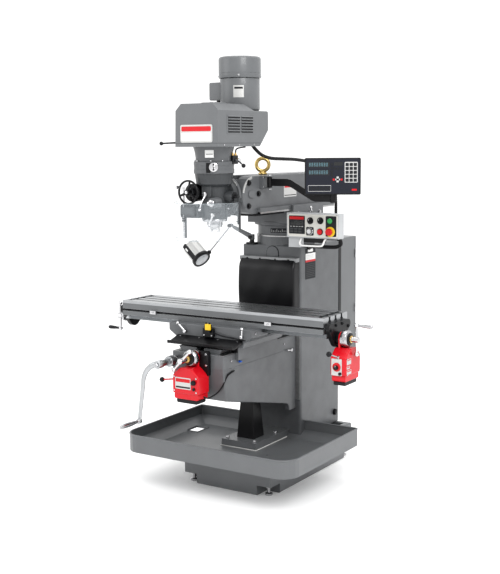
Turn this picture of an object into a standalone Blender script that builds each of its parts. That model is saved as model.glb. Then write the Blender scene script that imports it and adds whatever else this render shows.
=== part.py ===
"""Vertical knee milling machine with two power feeds, a digital readout and a work lamp.

Metres, +Z up.  +X is the operator's right along the table, -Y faces the operator.
The origin is on the floor, in the machine's middle plane, under the front of the column.
"""
import math

import bmesh
import bpy
from mathutils import Matrix, Vector
from mathutils.geometry import convex_hull_2d

for old in list(bpy.data.objects):
    bpy.data.objects.remove(old, do_unlink=True)

# ---------------------------------------------------------------- driving dimensions
GAP = 0.0003                      # clearance between pieces that touch

BASE_HALF_W, BASE_FRONT, BASE_REAR, BASE_H = 0.280, -0.480, 0.460, 0.195
NOTCH = (0.085, 0.100, 0.055)     # corner notch: along X, along Y, height
PLINTH_HALF_W, PLINTH_FRONT, PLINTH_TOP = 0.112, -0.355, 0.240
TRAY_HALF_W, TRAY_FRONT, TRAY_REAR, TRAY_TOP = 0.530, -0.705, 0.050, 0.290
TRAY_WALL, TRAY_FLOOR, TRAY_MARGIN = 0.006, 0.0065, 0.085

COL_HALF_W, COL_REAR, COL_TOP, COL_WALL = 0.190, 0.465, 1.290, 0.026
WAY_HALF_W, WAY_DEPTH = 0.105, 0.030          # column dovetail
WAY_LOW, WAY_HIGH = 0.400, 1.205

PED_Y, PED_HALF_LOW, PED_HALF_TOP, PED_TAPER_TOP, PED_TOP = -0.232, 0.056, 0.040, 0.450, 0.680

KNEE_HALF_W, KNEE_TOP, KNEE_FRONT, KNEE_BACK = 0.160, 0.795, -0.730, -GAP
KNEE_TRAVEL = 141 * 0.00254
SADDLE_HALF_W, SADDLE_FRONT, SADDLE_REAR = 0.262, -0.620, -0.230
SADDLE_LOW, SADDLE_TOP = 0.8205, 0.9195
TABLE_HALF_L, TABLE_FRONT, TABLE_REAR, TABLE_LOW, TABLE_TOP = 0.635, -0.550, -0.296, 0.920, 1.002
SLOT_PITCH, SLOT_W, SLOT_DEPTH, TEE_W, TEE_H = 0.0635, 0.016, 0.030, 0.028, 0.012
TABLE_MID = (TABLE_FRONT + TABLE_REAR) / 2

X_SCREW_Y, X_SCREW_Z, SCREW_R = -0.440, 0.890, 0.011
Y_SCREW_Z = 0.780
KNEE_CRANK_X, KNEE_CRANK_Z = -0.115, 0.757
CRANK_R = 0.072                   # ball crank: hub to ball

TURRET_Y, TURRET_R = 0.165, 0.180
RAM_HALF_W, RAM_LOW, RAM_TOP, RAM_REAR = 0.115, 1.490, 1.690, 0.500
NOD_Y, HEAD_Z = -0.370, 1.590     # head axes: nod about X, tilt about Y
CHEEK_R, FLANGE_R = 0.095, 0.110
SPINDLE_Y, QUILL_R, QUILL_TRAVEL = -0.560, 0.043, 0.127
MOTOR_Y, MOTOR_R = -0.309, 0.105

PAINT = (0.30, 0.31, 0.32)
PAINT_DARK = (0.20, 0.21, 0.22)
RED = (0.62, 0.02, 0.03)
BLACK = (0.02, 0.02, 0.022)
STEEL = (0.62, 0.63, 0.64)
CHROME = (0.80, 0.80, 0.82)
GOLD = (0.62, 0.50, 0.26)


# ---------------------------------------------------------------- modelling helpers
def material(name, colour, roughness=0.45, metallic=0.0, alpha=1.0):
    """A Principled material, made once for each name."""
    mat = bpy.data.materials.get(name)
    if mat is None:
        mat = bpy.data.materials.new(name)
        mat.use_nodes = True
        shader = mat.node_tree.nodes["Principled BSDF"]
        shader.inputs["Base Color"].default_value = (*colour, 1.0)
        shader.inputs["Roughness"].default_value = roughness
        shader.inputs["Metallic"].default_value = metallic
        shader.inputs["Alpha"].default_value = alpha
    return mat


M_PAINT = material("machine_paint", PAINT)
M_DARK = material("dark_paint", PAINT_DARK)
M_RED = material("feed_red", RED, 0.35)
M_BLACK = material("black_parts", BLACK, 0.5)
M_RUBBER = material("rubber", BLACK, 0.8)
M_STEEL = material("ground_steel", STEEL, 0.3, 1.0)
M_CHROME = material("chrome", CHROME, 0.12, 1.0)
M_GOLD = material("gold_zinc", GOLD, 0.35, 1.0)
M_CLEAR = material("clear_guard", (0.9, 0.93, 0.95), 0.05, 0.0, 0.3)
M_GREEN = material("green_button", (0.02, 0.35, 0.10), 0.4)


def box(low, high):
    """A box between two corners."""
    bm = bmesh.new()
    bmesh.ops.create_cube(bm, size=1.0)
    low, high = Vector(low), Vector(high)
    for vert in bm.verts:
        vert.co = Vector(low[i] + (vert.co[i] + 0.5) * (high[i] - low[i]) for i in range(3))
    return bm


def loft(rings):
    """A closed solid through rings of equally many points, with flat ends."""
    bm = bmesh.new()
    rows = [[bm.verts.new(p) for p in ring] for ring in rings]
    count = len(rows[0])
    for a, b in zip(rows, rows[1:]):
        for i in range(count):
            j = (i + 1) % count
            bm.faces.new((a[i], a[j], b[j], b[i]))
    bm.faces.new(list(reversed(rows[0])))
    bm.faces.new(rows[-1])
    bmesh.ops.recalc_face_normals(bm, faces=bm.faces)
    return bm


AXES = {"x": ("y", "z"), "y": ("x", "z"), "z": ("x", "y")}


def point(axis, along, u, v):
    """A point at distance along an axis, and at (u, v) on the other two axes."""
    place = {axis: along, AXES[axis][0]: u, AXES[axis][1]: v}
    return Vector((place["x"], place["y"], place["z"]))


def prism(outline, axis, start, end):
    """An outline of (u, v) points drawn out along an axis."""
    return loft([[point(axis, s, u, v) for u, v in outline] for s in (start, end)])


def circle(u, v, radius, sides=24, first=0.0, last=360.0):
    """Points round a circle, or along an arc when last - first is under 360 degrees."""
    full = abs(last - first) >= 360.0
    steps = sides if full else sides + 1
    span = math.radians(last - first) / sides
    angle = math.radians(first)
    return [(u + radius * math.cos(angle + span * i), v + radius * math.sin(angle + span * i))
            for i in range(steps)]


def rod(axis, start, end, u, v, radius, sides=24, end_radius=None):
    """A round bar, or a cone when end_radius is given."""
    tip = radius if end_radius is None else end_radius
    rings = [[point(axis, s, *p) for p in circle(u, v, r, sides)]
             for s, r in ((start, radius), (end, tip))]
    return loft(rings)


def turned(axis, u, v, profile, sides=24):
    """A solid of revolution: the profile is (distance along the axis, radius)."""
    return loft([[point(axis, s, *p) for p in circle(u, v, r, sides)] for s, r in profile])


def ball(centre, radius, sides=12, rings=7):
    """A small ball."""
    bm = bmesh.new()
    bmesh.ops.create_uvsphere(bm, u_segments=sides, v_segments=rings, radius=radius)
    bmesh.ops.translate(bm, vec=Vector(centre), verts=bm.verts)
    return bm


def bar(path, half_sizes, sides=4, roll=0.0):
    """A bar along a path of points.  half_sizes holds one (across, deep) pair for each point."""
    rings = []
    path = [Vector(p) for p in path]
    for i, here in enumerate(path):
        back, front = path[max(i - 1, 0)], path[min(i + 1, len(path) - 1)]
        along = (front - back).normalized()
        side = along.cross(Vector((0.0, 1.0, 0.0)))
        side = Vector((1.0, 0.0, 0.0)) if side.length < 0.2 else side.normalized()
        deep = along.cross(side).normalized()
        across, depth = half_sizes[i]
        stretch = math.sqrt(2.0) if sides == 4 else 1.0
        ring = []
        for k in range(sides):
            angle = math.radians(roll + (45.0 if sides == 4 else 0.0) + 360.0 * k / sides)
            ring.append(here + side * (across * stretch * math.cos(angle))
                        + deep * (depth * stretch * math.sin(angle)))
        rings.append(ring)
    return loft(rings)


def round_bar(path, radius, sides=8, tip=None):
    """A round bar along a path, which may taper to tip."""
    count = len(path) - 1
    end = radius if tip is None else tip
    sizes = [(radius + (end - radius) * i / count,) * 2 for i in range(len(path))]
    return bar(path, sizes, sides)


def hull(circles, sides=16):
    """The outline round several circles given as (u, v, radius)."""
    points = [Vector(p) for u, v, r in circles for p in circle(u, v, r, sides)]
    return [tuple(points[i]) for i in convex_hull_2d(points)]


def rounded(u0, v0, u1, v1, radii, sides=4):
    """A rectangle with rounded corners; radii go round from (u0, v0) anticlockwise."""
    corners = ((u0, v0, 180), (u1, v0, 270), (u1, v1, 0), (u0, v1, 90))
    outline = []
    for (u, v, start), r in zip(corners, radii):
        cu = u + r if u == u0 else u - r
        cv = v + r if v == v0 else v - r
        outline += circle(cu, cv, r, sides, start, start + 90)
    return outline


def spun(bm, angle, centre, axis):
    """The mesh turned by an angle in degrees about an axis through centre."""
    bmesh.ops.rotate(bm, cent=Vector(centre), verts=bm.verts,
                     matrix=Matrix.Rotation(math.radians(angle), 3, axis))
    return bm


def make(name, bm, mat=None, at=(0.0, 0.0, 0.0), bevel=0.0, segments=1, smooth=True):
    """Turn a mesh in world coordinates into an object whose origin is at the given point."""
    bmesh.ops.translate(bm, vec=-Vector(at), verts=bm.verts)
    mesh = bpy.data.meshes.new(name)
    bm.to_mesh(mesh)
    bm.free()
    if smooth:
        mesh.shade_smooth()
        mesh.set_sharp_from_angle(angle=math.radians(35))
    obj = bpy.data.objects.new(name, mesh)
    obj.location = at
    bpy.context.scene.collection.objects.link(obj)
    if mat is not None:
        obj.data.materials.append(mat)
    if bevel:
        mod = obj.modifiers.new("edges", "BEVEL")
        mod.width, mod.segments, mod.limit_method = bevel, segments, "ANGLE"
        mod.angle_limit = math.radians(50)
    return obj


def combine(obj, operation, shapes):
    """Join shapes to the object or cut them away, each through a hidden helper."""
    for index, bm in enumerate(shapes):
        helper = make(f"{obj.name}_{operation.lower()}_{index}", bm)
        helper.hide_render = True
        helper.display_type = "WIRE"
        mod = obj.modifiers.new(helper.name, "BOOLEAN")
        mod.operation, mod.solver, mod.object = operation, "EXACT", helper
    return obj


def add(obj, *shapes):
    return combine(obj, "UNION", shapes)


def cut(obj, *shapes):
    return combine(obj, "DIFFERENCE", shapes)


def grow(outline, distance):
    """A convex outline moved outwards, for a groove with clearance round a tongue."""
    count = len(outline)
    centre = Vector((sum(p[0] for p in outline) / count, sum(p[1] for p in outline) / count))
    lines = []
    for i in range(count):
        a, b = Vector(outline[i]), Vector(outline[(i + 1) % count])
        normal = Vector((b.y - a.y, a.x - b.x)).normalized()
        if normal.dot(a - centre) < 0:
            normal = -normal
        lines.append((normal, normal.dot(a) + distance))
    moved = []
    for i in range(count):
        (n1, d1), (n2, d2) = lines[i - 1], lines[i]
        det = n1.x * n2.y - n1.y * n2.x
        moved.append(((d1 * n2.y - n1.y * d2) / det, (n1.x * d2 - d1 * n2.x) / det))
    return moved


# ---------------------------------------------------------------- base, tray, column
def base():
    low = box((-BASE_HALF_W, BASE_FRONT, 0.0), (BASE_HALF_W, BASE_REAR, BASE_H))
    obj = make("base", low, M_DARK, bevel=0.006)
    add(obj, box((-PLINTH_HALF_W, PLINTH_FRONT, BASE_H - 0.02), (PLINTH_HALF_W, -GAP, PLINTH_TOP)))
    long_x, long_y, high = NOTCH
    notches = []
    for side in (-1, 1):
        for end, reach in ((BASE_FRONT, long_y), (BASE_REAR, -long_y)):
            outer_x, outer_y = side * (BASE_HALF_W + 0.02), end - math.copysign(0.02, reach)
            inner_x, inner_y = side * (BASE_HALF_W - long_x), end + reach
            notches.append(box((min(outer_x, inner_x), min(outer_y, inner_y), -0.02),
                               (max(outer_x, inner_x), max(outer_y, inner_y), high)))
    cut(obj, *notches)
    cut(obj, box((-0.245, 0.035, 0.070), (0.245, 0.425, 0.210)),
        box((-0.245, -0.445, 0.070), (0.245, -0.372, 0.210)))
    return obj


def chip_tray():
    bottom = BASE_H + GAP
    radii = (0.095, 0.095, 0.015, 0.015)
    outer = rounded(-TRAY_HALF_W, TRAY_FRONT, TRAY_HALF_W, TRAY_REAR, radii, 5)
    obj = make("chip_tray", prism(outer, "z", bottom, TRAY_TOP), M_PAINT)

    def ring(inset, height):
        r = [max(radius - inset, 0.006) for radius in radii]
        edge = rounded(-TRAY_HALF_W + inset, TRAY_FRONT + inset,
                       TRAY_HALF_W - inset, TRAY_REAR - inset, r, 5)
        return [point("z", height, *p) for p in edge]

    floor = bottom + TRAY_FLOOR
    cut(obj, loft([ring(TRAY_MARGIN, floor), ring(TRAY_WALL, floor + 0.035),
                   ring(TRAY_WALL, TRAY_TOP + 0.01)]))
    step = 2 * GAP
    cut(obj, box((-PLINTH_HALF_W - step, PLINTH_FRONT - step, 0.1), (PLINTH_HALF_W + step, 0.01, 0.5)),
        box((-COL_HALF_W - step, -step, 0.1), (COL_HALF_W + step, 0.2, 0.5)),
        box((-0.455, -0.205, 0.1), (-0.385, -0.110, 0.5)))
    return obj


def column():
    body = rounded(-COL_HALF_W, 0.0, COL_HALF_W, COL_REAR, (0.012,) * 4, 2)
    obj = make("column", prism(body, "z", BASE_H + GAP, COL_TOP), M_PAINT, bevel=0.004)
    way = ((-WAY_HALF_W, 0.004), (-WAY_HALF_W - 0.024, -WAY_DEPTH),
           (WAY_HALF_W + 0.024, -WAY_DEPTH), (WAY_HALF_W, 0.004))
    add(obj, prism(way, "z", WAY_LOW, WAY_HIGH),
        rod("z", COL_TOP - 0.01, COL_TOP + 0.055, 0.0, TURRET_Y, TURRET_R - 0.014, 32))
    cut(obj, box((-COL_HALF_W + COL_WALL, COL_WALL, 0.1),
                 (COL_HALF_W - COL_WALL, COL_REAR - COL_WALL, COL_TOP - 0.035)))
    return obj


def screw_pedestal():
    def square(half, height):
        edge = rounded(-half, PED_Y - half, half, PED_Y + half, (0.004,) * 4, 1)
        return [point("z", height, *p) for p in edge]

    foot = PLINTH_TOP + GAP
    body = loft([square(PED_HALF_LOW, foot), square(PED_HALF_TOP, PED_TAPER_TOP),
                 square(PED_HALF_TOP, PED_TOP)])
    return cut(make("screw_pedestal", body, M_DARK),
               rod("z", foot + 0.02, PED_TOP + 0.01, 0.0, PED_Y, 0.0215))


def way_cover():
    front, back = -0.062, -0.031
    side = ((back, 0.835), (front - 0.006, 0.835), (front, 1.00), (front - 0.010, 1.12),
            (front - 0.012, 1.18), (front + 0.004, 1.212), (back, 1.222))
    return make("way_cover", prism(side, "x", -0.192, 0.192), M_RUBBER)


def cabinet():
    obj = make("cabinet", box((-0.190, COL_REAR + GAP, 0.420), (0.190, 0.665, 1.300)), M_PAINT,
               bevel=0.003)
    return cut(obj, box((-0.178, COL_REAR + 0.012, 0.432), (0.178, 0.70, 1.288)))


def cabinet_door():
    leaf = box((-0.189, 0.6655, 0.421), (0.189, 0.686, 1.299))
    return make("cabinet_door", leaf, M_PAINT, at=(0.190, 0.676, 0.86), bevel=0.003)


# ---------------------------------------------------------------- controls and lamp
BOX_LOW, BOX_HIGH, BOX_FRONT, BOX_REAR = (0.160, 1.350), (0.482, 1.485), -0.100, -0.040


BUTTONS = (("stop_button", 0.370, 1.387, 0.0150, M_RED, 0.013), ("start_button", 0.432, 1.447, 0.0150, M_GREEN, 0.013),
           ("estop_button", 0.433, 1.389, 0.0200, M_RED, 0.030))
STEM_R = 0.008


def control_box():
    obj = make("control_box", box((BOX_LOW[0], BOX_FRONT, BOX_LOW[1]),
                                  (BOX_HIGH[0], BOX_REAR, BOX_HIGH[1])), M_PAINT, bevel=0.003)
    post = box((0.165, -0.070, 1.296), (0.186, 0.040, 1.3025))
    add(obj, box((0.165, -0.085, 1.296), (0.240, -0.050, 1.36)), post,
        box((0.166, 0.006, COL_TOP + GAP), (0.185, 0.040, 1.297)))
    return cut(obj, *(rod("y", BOX_FRONT - 0.01, BOX_FRONT + 0.016, x, z, STEM_R + 0.0006, 16)
                      for name, x, z, r, mat, depth in BUTTONS))


def knob(name, x, z, radius, mat, depth=0.016, sunk=0.0):
    """A control on the box's front: a cap on a stem, with its origin on its own axis.

    A button's stem is sunk into its hole, so that it can be pressed.
    """
    face = BOX_FRONT - GAP
    profile = ((face + sunk, STEM_R), (face - depth * 0.62, STEM_R), (face - depth * 0.64, radius),
               (face - depth, radius * 0.85))
    return make(name, turned("y", x, z, profile, 16), mat, at=(x, face, z))


def controls():
    knob("drive_selector", 0.310, 1.445, 0.014, M_BLACK)
    knob("light_selector", 0.372, 1.447, 0.014, M_BLACK)
    knob("speed_pot", 0.3075, 1.388, 0.014, M_CHROME)
    for name, x, z, radius, mat, depth in BUTTONS:
        knob(name, x, z, radius, mat, depth, 0.006)


LAMP_BASE = Vector((-0.140, 0.020, 1.330))
LAMP_ELBOW = Vector((-0.272, 0.000, 1.393))
LAMP_TILT = Vector((-0.419, -0.010, 1.231))
LAMP_AIM = Vector((0.765, -0.165, -0.623)).normalized()
LAMP_SIDE = Vector((0.610, 0.500, 0.617)).cross(LAMP_AIM).cross(LAMP_AIM).normalized() * -1.0


def lamp():
    x, y = LAMP_BASE.x, LAMP_BASE.y
    foot = box((x - 0.028, y - 0.022, COL_TOP + GAP), (x + 0.028, y + 0.022, 1.300))
    base_obj = make("lamp_base", foot, M_BLACK, bevel=0.002)
    add(base_obj, rod("z", 1.298, 1.3150, x, y, 0.013, 16))

    arm_way = (LAMP_ELBOW - LAMP_BASE).normalized()
    swivel = make("lamp_arm", rod("z", 1.3155, 1.346, x, y, 0.015, 16), M_PAINT, at=LAMP_BASE)
    tip = LAMP_ELBOW - arm_way * 0.0160
    add(swivel, bar([LAMP_BASE, tip], ((0.013, 0.010), (0.0095, 0.008))))

    rod_way = (LAMP_TILT - LAMP_ELBOW).normalized()
    elbow = make("lamp_rod", rod("y", LAMP_ELBOW.y - 0.011, LAMP_ELBOW.y + 0.011, LAMP_ELBOW.x,
                                 LAMP_ELBOW.z, 0.012, 16), M_STEEL, at=LAMP_ELBOW)
    add(elbow, round_bar([LAMP_ELBOW, LAMP_TILT - rod_way * 0.0125], 0.004))

    head = make("lamp_head", ball(LAMP_TILT, 0.012, 12, 8), M_STEEL, at=LAMP_TILT)
    lens = LAMP_TILT - LAMP_SIDE * 0.0600 + LAMP_AIM * 0.012
    back = lens - LAMP_AIM * 0.135
    can = [(0.000, 0.032), (0.006, 0.045), (0.018, 0.050), (0.112, 0.050), (0.113, 0.055),
           (0.135, 0.055)]
    add(head, round_cone(back, LAMP_AIM, can, 24))


def round_cone(start, aim, profile, sides=18):
    """A turned shape along any direction; the profile is (distance, radius)."""
    turn = Vector((0.0, 0.0, 1.0)).rotation_difference(aim).to_matrix()
    rings = [[start + turn @ Vector((*p, s)) for p in circle(0.0, 0.0, r, sides)]
             for s, r in profile]
    return loft(rings)


# ---------------------------------------------------------------- knee and what it carries
KNEE_TONGUE = ((-0.115, 0.790), (-0.135, 0.820), (0.135, 0.820), (0.115, 0.790))


def knee():
    side = ((KNEE_FRONT, KNEE_TOP), (KNEE_FRONT - 0.004, 0.725), (-0.708, 0.556), (-0.112, 0.418),
            (-0.092, 0.410), (-0.080, 0.395), (-0.075, 0.370), (KNEE_BACK, 0.370),
            (KNEE_BACK, KNEE_TOP))
    obj = make("knee", prism(side, "x", -KNEE_HALF_W, KNEE_HALF_W), M_PAINT, bevel=0.004)
    add(obj, prism(KNEE_TONGUE, "y", -0.705, -0.040))
    column_way = ((-WAY_HALF_W, 0.004), (-WAY_HALF_W - 0.0264, -0.033),
                  (WAY_HALF_W + 0.0264, -0.033), (WAY_HALF_W, 0.004))
    cut(obj, prism(grow(column_way, GAP), "z", 0.3, 0.9),
        box((-0.134, -0.640, 0.35), (0.134, -0.062, 0.715)),
        box((-0.0225, -0.80, Y_SCREW_Z - 0.0225), (0.0225, 0.01, 0.9)),
        rod("y", -0.80, -0.60, KNEE_CRANK_X, KNEE_CRANK_Z, 0.0135, 16))
    cut(obj, rod("z", 0.70, 0.7375, 0.0, PED_Y, 0.0205))
    return obj


def knee_screw():
    screw = rod("z", 0.268, 0.737, 0.0, PED_Y, 0.0195)
    return make("knee_screw", screw, M_STEEL, at=(0.0, PED_Y, 0.0))


def ball_crank(name, axis, u, v, spots, turn, handle_end, handle_tip, mat):
    """A crank of two balls on a tapered bar.  spots are its hub's start and end along the axis.

    turn is the bar's angle in degrees.  The handle stands on the ball at the bar's far end.
    """
    start, end = spots
    middle = (start + end) / 2
    obj = make(name, rod(axis, start, end, u, v, 0.0145, 16), mat, at=point(axis, middle, u, v))
    way = Vector((math.cos(math.radians(turn)), math.sin(math.radians(turn))))
    a, b = way * -CRANK_R, way * CRANK_R
    ends = [point(axis, middle, u + p.x, v + p.y) for p in (a, b)]
    add(obj, round_bar([ends[0], point(axis, middle, u, v), ends[1]], 0.0075, 8),
        ball(ends[0], 0.0125), ball(ends[1], 0.0125))
    if handle_tip:
        foot = ends[1] if handle_end > 0 else ends[0]
        tip = foot + point(axis, handle_tip - middle, 0.0, 0.0)
        add(obj, round_bar([foot, foot + (tip - foot) * 0.5, tip], 0.0060, 8, 0.0100))
    return obj


def y_crank():
    obj = ball_crank("y_crank", "y", 0.0, Y_SCREW_Z, (-0.888, -0.852), 45.0, 1, 0.0, M_CHROME)
    line = ((-0.853, 0.011), (-0.832, 0.011), (-0.8315, 0.018), (-0.8065, 0.018), (-0.806, 0.0415),
            (-0.7875, 0.0415), (-0.787, SCREW_R), (-0.060, SCREW_R))
    return add(obj, turned("y", 0.0, Y_SCREW_Z, line))


def feed_unit(name, axis, face, out, u, v, reach):
    """A power feed hanging under a screw.  face is its mounting plane, out its outward direction.

    u and v are the screw's place across the axis; reach is how far the body stands off the face.
    """
    def span(near, far):
        return sorted((face + out * near, face + out * far))

    neck = [(u - 0.034, v - 0.045)] + circle(u, v, 0.036, 10, 180, 0) + [(u + 0.034, v - 0.045)]
    body = ((u - 0.080, v - 0.180), (u - 0.080, v - 0.082), (u - 0.036, v - 0.042),
            (u + 0.036, v - 0.042), (u + 0.080, v - 0.082), (u + 0.080, v - 0.180))
    obj = make(name, prism(body, axis, *span(-0.020, reach)), M_RED, bevel=0.005)
    low = ((u - 0.066, v - 0.228), (u - 0.066, v - 0.170), (u + 0.066, v - 0.170), (u + 0.066, v - 0.228))
    add(obj, prism(neck, axis, *span(0.0, 0.024)), prism(low, axis, *span(-0.010, reach - 0.012)))
    return cut(obj, rod(axis, *span(-0.03, reach + 0.02), u, v, SCREW_R + 0.004))


def y_feed():
    obj = feed_unit("y_feed", "y", -0.7615, -1, 0.0, Y_SCREW_Z, 0.080)
    plate = box((-0.050, -0.7625, 0.690), (0.085, KNEE_FRONT - 0.005, 0.815))
    add(obj, plate)
    return cut(obj, rod("y", -0.80, -0.70, 0.0, Y_SCREW_Z, SCREW_R + 0.004),
               rod("y", -0.80, -0.70, KNEE_CRANK_X, KNEE_CRANK_Z, 0.04))


def knee_crank():
    x, z = KNEE_CRANK_X, KNEE_CRANK_Z
    line = ((-0.640, 0.012), (-0.7345, 0.012), (-0.735, 0.022), (-0.775, 0.022), (-0.7755, 0.012),
            (-0.790, 0.012), (-0.7905, 0.027), (-0.826, 0.027), (-0.8265, 0.016), (-0.925, 0.016))
    obj = make("knee_crank", turned("y", x, z, line), M_STEEL, at=(x, -0.905, z))
    # the arm leaves the hub sideways and bends down, as a quarter of an ellipse and a straight leg
    path = [Vector((x + 0.004, -0.905, z))]
    for step in range(1, 7):
        angle = math.radians(15.0 * step)
        path.append(Vector((x - 0.105 * math.sin(angle), -0.905, z - 0.115 * (1 - math.cos(angle)))))
    path.append(Vector((-0.250, -0.905, 0.445)))
    sizes = [(0.0150 - 0.0006 * i, 0.0075) for i in range(len(path))]
    grip = turned("y", -0.250, 0.445, ((-0.896, 0.013), (-0.925, 0.013), (-0.9255, 0.007), (-0.940, 0.008),
                                       (-0.985, 0.0125), (-1.030, 0.0105), (-1.060, 0.006)), 12)
    return add(obj, bar(path, sizes), grip)


def lever(name, pivot, tip, radius, ball_r, mat, boss_axis, boss_r=0.010, boss_l=0.018, at=None):
    """A lever: a round boss at the pivot, a bar and a ball at the tip."""
    pivot, tip = Vector(pivot), Vector(tip)
    others = [pivot["xyz".index(a)] for a in AXES[boss_axis]]
    centre = pivot["xyz".index(boss_axis)]
    obj = make(name, rod(boss_axis, centre - boss_l / 2, centre + boss_l / 2, *others, boss_r, 12),
               mat, at=pivot if at is None else at)
    return add(obj, round_bar([pivot, tip], radius, 8), ball(tip, ball_r))


# ---------------------------------------------------------------- saddle and table
TABLE_TONGUE = ((-0.508, 0.922), (-0.523, 0.896), (-0.323, 0.896), (-0.338, 0.922))


def saddle():
    w = SADDLE_HALF_W
    front = ((-w, SADDLE_TOP), (-w, 0.880), (-0.217, 0.850), (-0.205, SADDLE_LOW),
             (0.205, SADDLE_LOW), (0.217, 0.850), (w, 0.880), (w, SADDLE_TOP))
    obj = make("saddle", prism(front, "y", SADDLE_FRONT, SADDLE_REAR), M_PAINT, bevel=0.003)
    low = KNEE_TOP + GAP + 0.001
    add(obj, box((-0.178, SADDLE_FRONT, low), (0.178, SADDLE_REAR, SADDLE_LOW + 0.004)))
    for side in (-1, 1):
        near, far = sorted((side * (KNEE_HALF_W + 0.0015), side * 0.178))
        add(obj, box((near, SADDLE_FRONT, 0.757), (far, SADDLE_FRONT + 0.10, low + 0.004)))
    cut(obj, prism(grow(KNEE_TONGUE, 0.0006), "y", -0.8, 0.0),
        prism(grow(TABLE_TONGUE, 0.0006), "x", -0.4, 0.4),
        box((-0.4, X_SCREW_Y - 0.0195, X_SCREW_Z - 0.0195), (0.4, X_SCREW_Y + 0.0195, 0.95)))
    return obj


def apron():
    side = ((SADDLE_FRONT - GAP, 0.8615), (SADDLE_FRONT - GAP, 0.8415), (-0.705, 0.8265),
            (-0.715, 0.8290), (-0.715, 0.8420), (-0.700, 0.8440))
    return make("apron", prism(side, "x", -0.205, 0.205), M_BLACK)


def limit_switch():
    front = SADDLE_FRONT - GAP
    obj = make("limit_switch", box((-0.032, -0.638, 0.8650), (0.034, front, 0.910)), M_BLACK,
               bevel=0.002)
    return add(obj, box((-0.012, -0.650, 0.890), (0.022, -0.630, 0.930)))


def table():
    deck = [(TABLE_FRONT, TABLE_TOP)]
    for index in (-1, 0, 1):
        mid = TABLE_MID + index * SLOT_PITCH
        neck, tee = SLOT_W / 2, TEE_W / 2
        shoulder, floor = TABLE_TOP - SLOT_DEPTH + TEE_H, TABLE_TOP - SLOT_DEPTH
        deck += [(mid - neck, TABLE_TOP), (mid - neck, shoulder), (mid - tee, shoulder),
                 (mid - tee, floor), (mid + tee, floor), (mid + tee, shoulder),
                 (mid + neck, shoulder), (mid + neck, TABLE_TOP)]
    deck += [(TABLE_REAR, TABLE_TOP), (TABLE_REAR, TABLE_LOW)]
    under = [(-0.3388, TABLE_LOW), (-0.323, 0.896), (X_SCREW_Y + 0.020, 0.896),
             (X_SCREW_Y + 0.020, 0.914), (X_SCREW_Y - 0.020, 0.914), (X_SCREW_Y - 0.020, 0.896),
             (-0.523, 0.896), (-0.5072, TABLE_LOW)]
    face = [(TABLE_FRONT, TABLE_LOW), (TABLE_FRONT, 0.9440), (TABLE_FRONT + 0.012, 0.9440),
            (TABLE_FRONT + 0.012, 0.9560), (TABLE_FRONT, 0.9560)]
    obj = make("table", prism(deck + under + face, "x", -TABLE_HALF_L, TABLE_HALF_L), M_STEEL,
               smooth=False)
    for end in (-1, 1):
        a, b = sorted((end * 0.588, end * 0.612))
        cut(obj, box((a, TABLE_FRONT + 0.020, 0.984), (b, TABLE_REAR - 0.020, 1.02)))
    return obj


def bearing(name, side):
    outline = hull(((X_SCREW_Y, X_SCREW_Z, 0.046), (-0.518, 0.949, 0.022), (-0.328, 0.949, 0.022)), 12)
    inner, outer = TABLE_HALF_L + GAP, TABLE_HALF_L + 0.025
    spans = sorted((side * inner, side * outer))
    obj = make(name, prism(outline, "x", *spans), M_BLACK, bevel=0.003)
    neck = sorted((side * (outer - 0.004), side * (outer + 0.015)))
    add(obj, rod("x", *neck, X_SCREW_Y, X_SCREW_Z, 0.032))
    return cut(obj, rod("x", *sorted((side * 0.6, side * 0.7)), X_SCREW_Y, X_SCREW_Z, 0.0125))


def table_screw():
    screw = rod("x", -0.7005, 0.7085, X_SCREW_Y, X_SCREW_Z, SCREW_R)
    return make("table_screw", screw, M_STEEL, at=(0.0, X_SCREW_Y, X_SCREW_Z))


def table_cranks():
    y, z = X_SCREW_Y, X_SCREW_Z
    left = ball_crank("crank_left", "x", y, z, (-0.757, -0.729), 90.0, -1, -0.830, M_CHROME)
    add(left, turned("x", y, z, ((-0.7295, 0.012), (-0.715, 0.012), (-0.7145, 0.026), (-0.701, 0.026)), 16))
    right = ball_crank("crank_right", "x", y, z, (0.748, 0.776), 90.0, 1, 0.850, M_CHROME)
    add(right, turned("x", y, z, ((0.709, 0.0415), (0.7275, 0.0415), (0.728, 0.018), (0.7345, 0.018),
                                  (0.735, 0.012), (0.7485, 0.012))))


# ---------------------------------------------------------------- turret, ram and readout
def turret():
    low = COL_TOP + 0.0555
    ring = turned("z", 0.0, TURRET_Y, ((low, 0.160), (1.398, 0.160), (1.403, TURRET_R), (1.422, TURRET_R)), 36)
    obj = make("turret", ring, M_PAINT)
    half, lip = 0.150, RAM_HALF_W + 0.0205
    add(obj, box((-half, TURRET_Y - 0.172, 1.418), (half, TURRET_Y + 0.172, 1.520)))
    return cut(obj, box((-lip, -0.2, RAM_LOW - GAP), (lip, 0.6, 1.6)))


DRO_PIVOT, DRO_SWIVEL, DRO_TURN = (0.158, -0.270), (0.535, -0.270), 28.0


def ram():
    side = [(RAM_REAR, RAM_TOP)] + circle(NOD_Y, HEAD_Z, 0.0998, 12, 90, 270) + [(RAM_REAR, RAM_LOW)]
    obj = make("ram", prism(side, "x", -RAM_HALF_W, RAM_HALF_W), M_PAINT, bevel=0.003)
    add(obj, box((-0.135, -0.330, RAM_LOW), (0.135, RAM_REAR, 1.520)))
    y = DRO_PIVOT[1]
    add(obj, box((RAM_HALF_W - 0.01, y - 0.032, 1.6210), (0.134, y + 0.032, 1.6885)))
    add(obj, *(box((0.125, y - 0.014, low), (0.172, y + 0.014, low + 0.0050)) for low in (1.6215, 1.6835)))
    cut(obj, box((-0.056, -0.6, 1.4), (0.056, NOD_Y + 0.118, 1.8)),
        box((-0.085, -0.120, 1.40), (0.085, RAM_REAR - 0.030, 1.665)))
    return obj


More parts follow.
